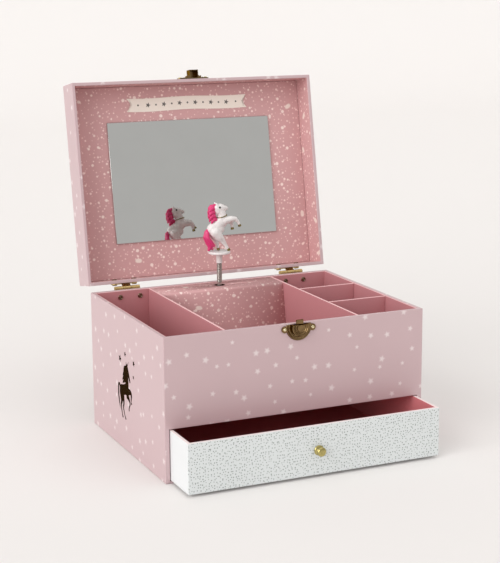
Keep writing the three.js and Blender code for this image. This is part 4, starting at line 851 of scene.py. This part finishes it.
eyelet, given, wanted = shape_tree("eyelet", {
    "Head Radius": 0.0024, "Roll": 0.0006, "Grip": 0.006, "Material": None})
ring_radius = reckon(eyelet, "SUBTRACT", given["Head Radius"], given["Roll"])
half_grip = reckon(eyelet, "MULTIPLY", given["Grip"], 0.5)
ring = shape_node(eyelet, "CurveToMesh", {
    0: shape_node(eyelet, "CurvePrimitiveCircle", {"Resolution": 24, "Radius": ring_radius}),
    1: shape_node(eyelet, "CurvePrimitiveCircle", {"Resolution": 10, "Radius": given["Roll"]})})
eyelet_parts = []
for sign in (-1.0, 1.0):
    shift = add_node(eyelet, "ShaderNodeCombineXYZ", {2: reckon(eyelet, "MULTIPLY", half_grip, sign)})
    eyelet_parts.append(shape_node(eyelet, "Transform", {0: ring, "Translation": shift.outputs[0]}))
eyelet_parts.append(shape_node(eyelet, "MeshCylinder", {
    "Vertices": 24, "Radius": ring_radius, "Depth": given["Grip"]}))
faced = shape_node(eyelet, "Transform", {
    0: gather(eyelet, *eyelet_parts), "Rotation": (math.pi / 2, 0, 0)})
spread(eyelet, given, wanted, faced, smooth=True)

RIVET_X, RIVET_FROM_RIM, RIVET_PROUD, OUTER_HEAD_Y = 9.5 * MM, 6.4 * MM, 0.3 * MM, 94.0 * MM
rivet_columns = [side * HINGE_X + x for side in (-1, 1) for x in (-RIVET_X, RIVET_X)]
for body, inner_head_y, z in (("body", inner_y - RIVET_PROUD, rim - RIVET_FROM_RIM),
                              ("lid", wall_y - RIVET_PROUD, lid_low + RIVET_FROM_RIM)):
    places = [(x, (inner_head_y + OUTER_HEAD_Y) / 2, z) for x in rivet_columns]
    rivets = grow(f"{body}_rivets", places, eyelet, rivet_metal, Grip=OUTER_HEAD_Y - inner_head_y)
    finish_piece(rivets, body, "gilt_steel", *[f"{body}_rivet_{i}" for i in range(1, 5)])

# ---- Catch ----
# A half-moon plate of antiqued brass under the rim, with a ringed boss that houses the sprung
# tongue. Its pair on the lid carries the open-ended hasp. Each is held by two domed nails.
aged_brass = metal("aged_brass", "8c7350", "3f2e1a", 0.2, 0.5, 160.0, 0.05, edge="c0a880")
nail_brass = metal("nail_brass", "e6dcb6", "b09a5e", 0.16, 0.3, 300.0)
bright_brass = metal("bright_brass", "c6b878", "766a38", 0.18, 0.4, 300.0)


def lathe(name, profile, place, *materials, sides=64, axis="Y"):
    """A turned shape: (radius, height) pairs in mm, with both ends on the axis."""
    shape = bmesh.new()
    rings = []
    for radius, height in ((r * MM, h * MM) for r, h in profile):
        if radius == 0:
            rings.append([shape.verts.new((0, 0, height))])
        else:
            rings.append([shape.verts.new((radius * math.cos(a), radius * math.sin(a), height))
                          for a in (2 * math.pi * k / sides for k in range(sides))])
    for a, b in zip(rings, rings[1:]):
        for k in range(sides):
            j = (k + 1) % sides
            if len(a) == 1:
                corners = (a[0], b[j], b[k])
            elif len(b) == 1:
                corners = (a[k], a[j], b[0])
            else:
                corners = (a[k], a[j], b[j], b[k])
            shape.faces.new(corners).smooth = True
    bmesh.ops.recalc_face_normals(shape, faces=shape.faces)
    made = new_object(name, shape, *materials)
    made.data.transform(Matrix.Translation(place) @ ALONG[axis])
    return made


PLATE_BACK, PLATE, CENTRE_DROP, EDGE_DROP = 0.3 * MM, 0.8 * MM, 3.6 * MM, 1.1 * MM
EAR_X, EAR_RADIUS, EAR_DROP, BAR_HALF = 12.8 * MM, 2.9 * MM, 1.3 * MM, 1.5 * MM
BOSS_RADIUS, BOSS_WALL, BOSS_MM = 7.5 * MM, 0.8 * MM, 3.6
catch_back = -half_y - PLATE_BACK
catch_face = catch_back - PLATE


def half_moon(name, up, boss):
    """The plate with its ears and stepped boss; up is -1 below the rim and 1 on the lid."""
    edge_of = rim if up < 0 else lid_low
    centre_z, edge_z = edge_of + up * CENTRE_DROP, edge_of + up * EDGE_DROP
    profile = [(0, 0), (11.5, 0), (11.5, 0.8), (11.2, 1.15), (10.6, 1.15), (10.1, 0.75), (9.7, 0.75),
               (9.3, 1.3), (8.7, 1.3), (8.2, 0.75), (7.6, 0.75), (7.5, boss + 0.7), (7.1, boss + 1.0),
               (6.6, boss + 1.0), (6.1, boss + 0.55), (5.6, boss + 0.55), (5.2, boss + 1.4),
               (4.7, boss + 1.4), (4.2, boss + 0.9), (3.6, boss + 0.9), (3.2, boss + 1.8),
               (2.6, boss + 1.95), (1.2, boss + 1.95), (0, boss + 2.0)]
    moon = lathe(name, profile, (0, catch_back, centre_z), aged_brass, sides=72)
    ear_z = centre_z + up * EAR_DROP
    join(moon, block("bar", (-EAR_X, catch_face, ear_z - BAR_HALF),
                     (EAR_X, catch_back, ear_z + BAR_HALF), aged_brass))
    for x in (-EAR_X, EAR_X):
        join(moon, rod((x, (catch_face + catch_back) / 2, ear_z), EAR_RADIUS, catch_back - catch_face,
                       "Y", 40))
    beyond = edge_z - up * 30 * MM
    cut_box(moon, (-40 * MM, -half_y - 20 * MM, min(edge_z, beyond)),
            (40 * MM, -half_y + BEYOND, max(edge_z, beyond)))
    return moon, centre_z, edge_z, ear_z


catch, centre_z, edge_z, ear_z = half_moon("catch_half_moon", -1, BOSS_MM)
cavity_front = catch_face - BOSS_MM * MM + BOSS_WALL
drill(catch, 0, centre_z, BOSS_RADIUS - BOSS_WALL, cavity_front, catch_face)
soften(catch, 0.12 * MM, 2, 40)
finish_piece(catch, "body", "aged_brass", "catch_plate")

HASP_HALF, HASP_DEPTH, HASP_HEIGHT, HASP_WALL = 4.3 * MM, 7.4 * MM, 7.5 * MM, 0.7 * MM
strike, _, strike_edge, strike_ear = half_moon("strike_half_moon", 1, BOSS_MM / 2)
join(strike, block("hasp", (-HASP_HALF, catch_face - HASP_DEPTH, strike_edge),
                   (HASP_HALF, catch_face + 0.1 * MM, strike_edge + HASP_HEIGHT), aged_brass))
cut_box(strike, (-HASP_HALF + HASP_WALL, catch_face - HASP_DEPTH + HASP_WALL, strike_edge - 1 * MM),
        (HASP_HALF - HASP_WALL, catch_face, strike_edge + HASP_HEIGHT - HASP_WALL))
soften(strike, 0.12 * MM, 2, 40)
finish_piece(strike, "lid", "aged_brass", "strike_plate")

tongue_low, tongue_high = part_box("catch_tongue")
tongue_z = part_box("catch_pin")[0].z
tongue = block("catch_tongue_lever", (tongue_low.x, tongue_low.y + 0.6 * MM, tongue_z + 0.9 * MM),
               (tongue_high.x, tongue_low.y + 1.4 * MM, tongue_high.z), aged_brass)
join(tongue, block("lip", (tongue_low.x + 0.3 * MM, tongue_low.y, tongue_high.z - 1.2 * MM),
                   (tongue_high.x - 0.3 * MM, tongue_low.y + 0.7 * MM, tongue_high.z - 0.1 * MM),
                   aged_brass))
join(tongue, rod((0, tongue_low.y + 1.2 * MM, tongue_z + 0.5 * MM), 1.1 * MM,
                 tongue_high.x - tongue_low.x - 0.2 * MM, "X", 24))
soften(tongue, 0.15 * MM, 2, 40)
finish_piece(tongue, "tongue", "aged_brass", "catch_tongue")

domed_nail, given, wanted = shape_tree("domed_nail", {"Radius": 0.0016, "Rise": 0.001, "Material": None})
dome = shape_node(domed_nail, "MeshUVSphere", {"Segments": 24, "Rings": 14, "Radius": 1.0})
dome_size = add_node(domed_nail, "ShaderNodeCombineXYZ", {
    0: given["Radius"], 1: given["Rise"], 2: given["Radius"]})
flattened = shape_node(domed_nail, "Transform", {0: dome, "Scale": dome_size.outputs[0]})
spread(domed_nail, given, wanted, flattened, smooth=True)
for word, body, z in (("catch", "body", ear_z), ("strike", "lid", strike_ear)):
    places = [(x, catch_face - 0.2 * MM, z) for x in (-EAR_X, EAR_X)]
    nails = grow(f"{word}_nails", places, domed_nail, nail_brass)
    finish_piece(nails, body, "brass", f"{word}_nail_left", f"{word}_nail_right")

# ---- Drawer ----
# A board tray that runs under the tray floor. Its front has white paper printed with tiny grey
# dots, its sides are plain white, and it is lined in dark red paper. A brass knob is screwed on.
speckled_paper = paper("speckled_paper", "d9dddd", [
    ("6f7872", 0.9, {"Spacing": 0.0024, "Radius": 0.00052, "Share": 0.97, "Softness": 0.4,
                     "Unevenness": 0.4, "Looseness": 0.75})])
white_paper = paper("white_paper", "e2e4e5")
dark_lining = paper("dark_lining", "d07c80")
# A paler, pinker white for the top edges of the drawer walls: a painted highlight from the light above.
white_top_highlight = paper("white_top_highlight", "f2e3e2")
drawer_low, drawer_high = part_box("drawer_left_side")[0].copy(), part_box("drawer_right_side")[1].copy()
drawer_low.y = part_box("drawer_front")[0].y
DRAWER_BOARD, DRAWER_BOTTOM = 3 * MM, 1.8 * MM
tray = block("drawer_tray", drawer_low, drawer_high, speckled_paper, white_paper, dark_lining, white_top_highlight)
inset = Vector((DRAWER_BOARD, DRAWER_BOARD, 0))
cut_box(tray, drawer_low + inset + Vector((0, 0, DRAWER_BOTTOM)),
        drawer_high - inset + Vector((0, 0, BEYOND)))
soften(tray, 0.45 * MM, 3)


def drawer_side(centre, normal):
    """Speckled in front, white outside, dark red inside, and paler where an edge looks up: a painted
    highlight.
    """
    if normal.z > 0.75 and centre.z > drawer_high.z - 0.3 * MM:
        return 3
    if centre.y < drawer_low.y + 0.5 * MM:
        return 0
    within = (drawer_low.x + 2 * MM < centre.x < drawer_high.x - 2 * MM
              and drawer_low.y + 2 * MM < centre.y < drawer_high.y - 2 * MM
              and centre.z > drawer_low.z + 1 * MM)
    return 2 if within else 1


sort_faces(tray, drawer_side)
unroll(tray)
finish_piece(tray, "drawer", "white_paper", "drawer_front", "drawer_left_side", "drawer_right_side",
             "drawer_back", "drawer_bottom")

knob_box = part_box("drawer_knob")
knob_z = (knob_box[0].z + knob_box[1].z) / 2
KNOB_PROFILE = [(0, 0), (4.2, 0), (4.4, 0.4), (4.3, 1.0), (3.5, 1.6), (2.2, 2.0), (1.9, 2.8), (2.1, 3.6),
                (3.1, 4.1), (3.8, 4.7), (4.1, 5.5), (3.8, 6.4), (3.0, 7.1), (1.6, 7.45), (0, 7.5)]
knob = lathe("brass_knob", KNOB_PROFILE, (0, knob_box[1].y, knob_z), bright_brass)
round_knob = knob.modifiers.new("round", "SUBSURF")
round_knob.levels = round_knob.render_levels = 1
settle(knob)
finish_piece(knob, "drawer", "brass", "drawer_knob")
repaint(metal("screw_steel", "b9b5ae", "7d7871", 0.35), "knob_screw")

# ---- Movement ----
# An eighteen-note movement screwed to the back wall under the cover: zinc bed and spring housing,
# brass wheels and drum, steel comb. Fine pins stand on the drum.
steel = metal("bright_steel", "c4c0ba", "8b8680", 0.3)
repaint(metal("cast_zinc", "9b9c9c", "6c6d6e", 0.55, 0.5, 700.0), "bedplate", "spring_housing")
repaint(steel, "comb", "mainspring", "winding_arbor", "spindle", "catch_pin")
repaint(metal("wheel_brass", "d6b465", "9c7c38", 0.32),
        "crown_wheel", "cylinder", "governor_wheel", "governor_fan")

music_pin, given, wanted = shape_tree("music_pin", {"Radius": 0.00014, "Length": 0.0004, "Material": None})
spread(music_pin, given, wanted, shape_node(music_pin, "MeshCylinder", {
    "Vertices": 6, "Radius": given["Radius"], "Depth": given["Length"]}))
DRUM_RADIUS, DRUM_LOW, NOTES, NOTE_PITCH, PINS_A_NOTE = 6 * MM, 89.2 * MM, 18, 1 * MM, 9
draw = random.Random(18)
pin_places = []
for note in range(NOTES):
    for _ in range(PINS_A_NOTE):
        turn = draw.uniform(0, 2 * math.pi)
        pin_places.append((DRUM_RADIUS * math.cos(turn), spindle_y + DRUM_RADIUS * math.sin(turn),
                           DRUM_LOW + (note + 0.5) * NOTE_PITCH))
pins = grow("music_pins", pin_places, music_pin, steel)
finish_piece(pins, "music_cylinder", "steel")

# ---- Winding key ----
# A cast brass butterfly key on the squared end of the winding arbor, behind the back wall. Each
# wing has a round eye.
key_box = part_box("winding_key")
KEY_STEM = [(0, 0), (3.2, 0), (3.6, -0.4), (3.6, -5.8), (3.2, -6.6), (2.6, -7.2), (2.4, -9.0), (0, -9.6)]
key = lathe("butterfly_key", KEY_STEM, (0, key_box[0].y, arbor_z), bright_brass, sides=40)
WING_RADIUS, WING_X, WING_HALF, WING_BACK = 6.4 * MM, 5.5 * MM, 1.1 * MM, 6.5 * MM
EYE_RADIUS, EYE_OUT, EYE_DEPTH = 2.2 * MM, 1.2 * MM, 6 * MM
wing_y = key_box[1].y - WING_BACK
for side in (-1, 1):
    join(key, rod((side * WING_X, wing_y, arbor_z), WING_RADIUS, 2 * WING_HALF))
    cut(key, rod((side * (WING_X + EYE_OUT), wing_y, arbor_z), EYE_RADIUS, EYE_DEPTH, sides=32))
soften(key, 0.3 * MM, 2, 45)
finish_piece(key, "winding_train", "brass", "winding_key")

# ---- Spring neck ----
# A close-coiled steel spring joins the spindle to the figure's stand, so the figure can lie down
# under the shut lid.
WIRE, COIL_RADIUS = 0.42 * MM, 2.02 * MM
coil_tree, given, wanted = shape_tree("close_coil", {"Turns": 21.0, "Height": 0.0178, "Material": None})
coil_line = shape_node(coil_tree, "CurveSpiral", {
    "Resolution": 20, "Rotations": given["Turns"], "Start Radius": COIL_RADIUS,
    "End Radius": COIL_RADIUS, "Height": given["Height"]})
wire_round = shape_node(coil_tree, "CurvePrimitiveCircle", {"Resolution": 8, "Radius": WIRE})
spread(coil_tree, given, wanted, shape_node(coil_tree, "CurveToMesh", {
    "Curve": coil_line, "Profile Curve": wire_round, "Fill Caps": True}), smooth=True)
spring_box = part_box("flex_spring")
spring = grow("neck_spring", [(0, spindle_y, spring_box[0].z + WIRE)], coil_tree, steel,
              Height=spring_box[1].z - spring_box[0].z - 2 * WIRE)
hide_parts("flex_spring")
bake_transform(spring)

# ---- Stand ----
# A white moulded disc with a socket below that grips the top of the spring. The figure's hind
# hooves stand on it.


def moulded(name, base, tint, roughness=0.28):
    """Painted plastic: a barely uneven gloss coat."""
    made, tree, shader = new_material(name)
    cloud = noise(tree, object_places(tree), 260.0, 3.0)
    plug(tree, shader, {
        "Base Color": mix(tree, cloud, colour(base), colour(tint)),
        "Roughness": between(tree, cloud, roughness - 0.06, roughness + 0.06),
        "Normal": bumps(tree, cloud, 0.04 * MM, 0.3)})
    return made


white_gloss = moulded("white_gloss", "e2dedc", "e9e5e4")
stand_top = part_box("figure_stand")[1].z
STAND_PROFILE = [(0, -11.5), (2.5, -11.5), (2.8, -11.2), (3.0, -3.6), (3.4, -2.9), (4.2, -2.4),
                 (9.8, -2.4), (10.2, -2.2), (10.4, -1.9), (10.4, -0.7), (10.25, -0.3), (9.9, -0.05),
                 (9.4, 0), (0, 0)]
stand = lathe("stand_disc", STAND_PROFILE, (0, spindle_y, stand_top), white_gloss, axis="Z")
soften(stand, 0.15 * MM, 2, 30)
finish_piece(stand, "figure", "white_plastic", "figure_stand")

# ---- Rearing horse ----
# A small moulded horse, painted gloss white, standing on its hind hooves on the disc: pink mane
# and tail, a gold collar, gold hooves and black eyes.
hot_pink = moulded("pink_paint", "e0407c", "cf2f6c", 0.35)
black_gloss = moulded("black_paint", "15110f", "241c1a", 0.15)


def on_stand(x, y, z):
    """The place of a point given in mm from the middle of the stand's top."""
    return Matrix.Translation((x * MM, spindle_y + y * MM, stand_top + z * MM))


def limbs(shape, chains, steps=9):
    """Strings of balls through (x, y, z, radius) points, close enough to fuse when remeshed."""
    for chain in chains:
        for a, b in zip(chain, chain[1:]):
            for k in range(steps + 1):
                x, y, z, r = Vector(a).lerp(Vector(b), k / steps)
                bmesh.ops.create_icosphere(shape, subdivisions=2, radius=r * MM, matrix=on_stand(x, y, z))


def fuse(name, shape, material, voxel, rounds):
    """Fuses overlapping balls into one smooth skin."""
    made = new_object(name, shape, material)
    skin = made.modifiers.new("skin", "REMESH")
    skin.mode = "VOXEL"
    skin.voxel_size = voxel * MM
    skin.use_smooth_shade = True
    even = made.modifiers.new("even", "SMOOTH")
    even.factor = 0.5
    even.iterations = rounds
    settle(made)
    return made


def ellipsoid(shape, centre, radii, tilt=0.0):
    """Adds a smooth egg with three radii in mm, tilted about Y."""
    bmesh.ops.create_icosphere(shape, subdivisions=3, radius=1.0, matrix=on_stand(*centre)
                               @ Matrix.Rotation(math.radians(tilt), 4, "Y")
                               @ Matrix.Diagonal([r * MM for r in radii] + [1.0]))


skin = bmesh.new()
for centre, radii, tilt in (((-5.6, 0, 20.8), (6.4, 5.0, 6.2), 0), ((-1.6, 0, 23.6), (7.2, 4.7, 5.6), -45),
                            ((2.4, 0, 27.2), (6.0, 4.8, 5.8), 0), ((-1.4, 0, 20.6), (6.6, 4.8, 5.4), 0),
                            ((0.9, 0, 39.6), (4.8, 3.9, 4.7), 0), ((0.4, 0, 37.6), (3.9, 3.8, 3.4), 0)):
    ellipsoid(skin, centre, radii, tilt)
limbs(skin, [
    [(3.0, 0, 29.5, 5.0), (2.8, 0, 33.5, 4.5), (1.4, 0, 37.5, 4.0)],
    [(3.0, 0, 40.2, 3.5), (5.6, 0, 39.8, 2.6), (7.3, 0, 39.6, 2.0)],
    [(-1.6, 0, 40.0, 4.0), (-0.8, 0, 37.4, 3.8)],
    [(-1.8, 1.8, 42.6, 1.5), (-2.8, 2.1, 44.2, 1.0), (-3.5, 2.2, 45.5, 0.35)],
    [(-1.8, -1.8, 42.6, 1.5), (-2.8, -2.1, 44.2, 1.0), (-3.5, -2.2, 45.5, 0.35)],
    [(5.0, -2.4, 28.4, 3.6), (10.8, -3.0, 29.6, 3.0), (15.0, -3.2, 29.6, 2.1), (17.8, -3.3, 26.4, 1.5),
     (18.8, -3.4, 24.2, 1.3)],
    [(5.0, 2.4, 27.2, 3.4), (10.0, 3.0, 27.2, 3.0), (13.8, 3.2, 26.4, 2.2), (14.4, 3.3, 23.2, 1.6),
     (14.6, 3.4, 20.8, 1.35)],
    [(-5.0, -2.6, 18.2, 5.0), (-1.6, -3.2, 14.0, 4.2), (1.8, -3.4, 10.4, 2.8), (4.4, -3.4, 6.4, 1.8),
     (6.8, -3.4, 2.8, 1.5)],
    [(-5.6, 2.6, 17.8, 4.8), (-3.6, 3.2, 13.6, 3.8), (-1.6, 3.4, 10.2, 2.4), (-0.6, 3.4, 6.4, 1.6),
     (0.2, 3.4, 2.8, 1.4)]])
horse = fuse("horse_body", skin, white_gloss, 0.42, 7)

hair = bmesh.new()
LOCKS = 8
locks = []
for i in range(LOCKS):
    t = i / (LOCKS - 1)
    root_x, root_z = -4.3 - 1.0 * math.sin(t * 2.4) + 2.4 * t * t, 41.8 - 12.2 * t
    side = (-1) ** i * (1.2 + 0.4 * math.sin(3 * t))
    locks.append([(root_x - 0.6, side * 0.5, root_z, 1.8), (root_x - 2.8, side, root_z + 0.2, 1.7),
                  (root_x - 4.6, side * 1.1, root_z - 1.4, 1.45), (root_x - 5.4, side, root_z - 3.8, 0.5)])
locks.append([(-2.2, 0, 42.6, 1.0), (-4.2, 0.2, 43.0, 1.4), (-6.4, 0, 42.2, 1.5)])
limbs(hair, locks, 7)
mane = fuse("horse_mane", hair, hot_pink, 0.36, 3)

brush = bmesh.new()
limbs(brush, [
    [(-10.8, 0, 20.4, 1.5), (-12.6, 0.2, 18.4, 2.0), (-13.4, 0.5, 14.0, 2.3), (-10.8, 0.4, 8.6, 2.6),
     (-9.0, 0, 4.4, 2.4), (-10.6, -0.4, 1.6, 1.3)],
    [(-12.0, -1.2, 18.0, 1.6), (-12.0, -1.8, 13.0, 2.0), (-9.0, -1.9, 8.6, 2.3), (-6.2, -1.4, 5.6, 1.7),
     (-4.8, -0.8, 5.4, 0.5)],
    [(-12.4, 1.2, 17.8, 1.6), (-13.2, 1.9, 13.0, 2.0), (-10.4, 2.0, 7.4, 2.4), (-7.4, 1.6, 3.4, 1.9),
     (-6.2, 1.0, 1.6, 0.9)]], 8)
tail = fuse("horse_tail", brush, hot_pink, 0.36, 3)

COLLAR_SIDES, WIRE_SIDES, COLLAR_WIRE, COLLAR_X, COLLAR_Y = 64, 10, 0.36, 4.85, 4.55
hoof_gold = metal("hoof_gold", "8f7f4c", "5d5230", 0.32, 0.5, 500.0)
collar_shape = bmesh.new()
collar_rings = []
for a in (2 * math.pi * k / COLLAR_SIDES for k in range(COLLAR_SIDES)):
    collar_ring = []
    for b in (2 * math.pi * k / WIRE_SIDES for k in range(WIRE_SIDES)):
        wide = 1 + COLLAR_WIRE * math.cos(b) / 4.6
        collar_ring.append(collar_shape.verts.new((
            COLLAR_X * wide * math.cos(a), COLLAR_Y * wide * math.sin(a), 1.3 * COLLAR_WIRE * math.sin(b))))
    collar_rings.append(collar_ring)
for a, b in zip(collar_rings, collar_rings[1:] + collar_rings[:1]):
    for j in range(WIRE_SIDES):
        n = (j + 1) % WIRE_SIDES
        collar_shape.faces.new((a[j], b[j], b[n], a[n])).smooth = True
bmesh.ops.recalc_face_normals(collar_shape, faces=collar_shape.faces)
collar = new_object("gold_collar", collar_shape, hoof_gold)
collar.data.transform(on_stand(2.9, 0, 32.4) @ Matrix.Rotation(math.radians(-14), 4, "Y")
                      @ Matrix.Scale(MM, 4))

hoof_shape = bmesh.new()
for x, y, z, lean in ((19.2, -3.4, 23.2, 155), (14.8, 3.4, 19.6, 168), (8.0, -3.4, 1.3, 155),
                      (0.5, 3.4, 1.3, 172)):
    bmesh.ops.create_cone(hoof_shape, cap_ends=True, segments=24, radius1=1.3 * MM, radius2=1.65 * MM,
                          depth=2.2 * MM, matrix=on_stand(x, y, z)
                          @ Matrix.Rotation(math.radians(lean), 4, "Y"))
hooves = new_object("gold_hooves", hoof_shape, hoof_gold)
soften(hooves, 0.35 * MM, 3, 40)

eye_shape = bmesh.new()
for side in (-1, 1):
    ellipsoid(eye_shape, (-0.4, side * 3.75, 41.2), (0.9, 0.5, 1.0))
eyes = new_object("horse_eyes", eye_shape, black_gloss)
for face in eyes.data.polygons:
    face.use_smooth = True

finish_piece(horse, "figure", "white_plastic", "horse_figure")
for piece in (mane, tail, collar, hooves, eyes):
    finish_piece(piece, "figure", "white_plastic")
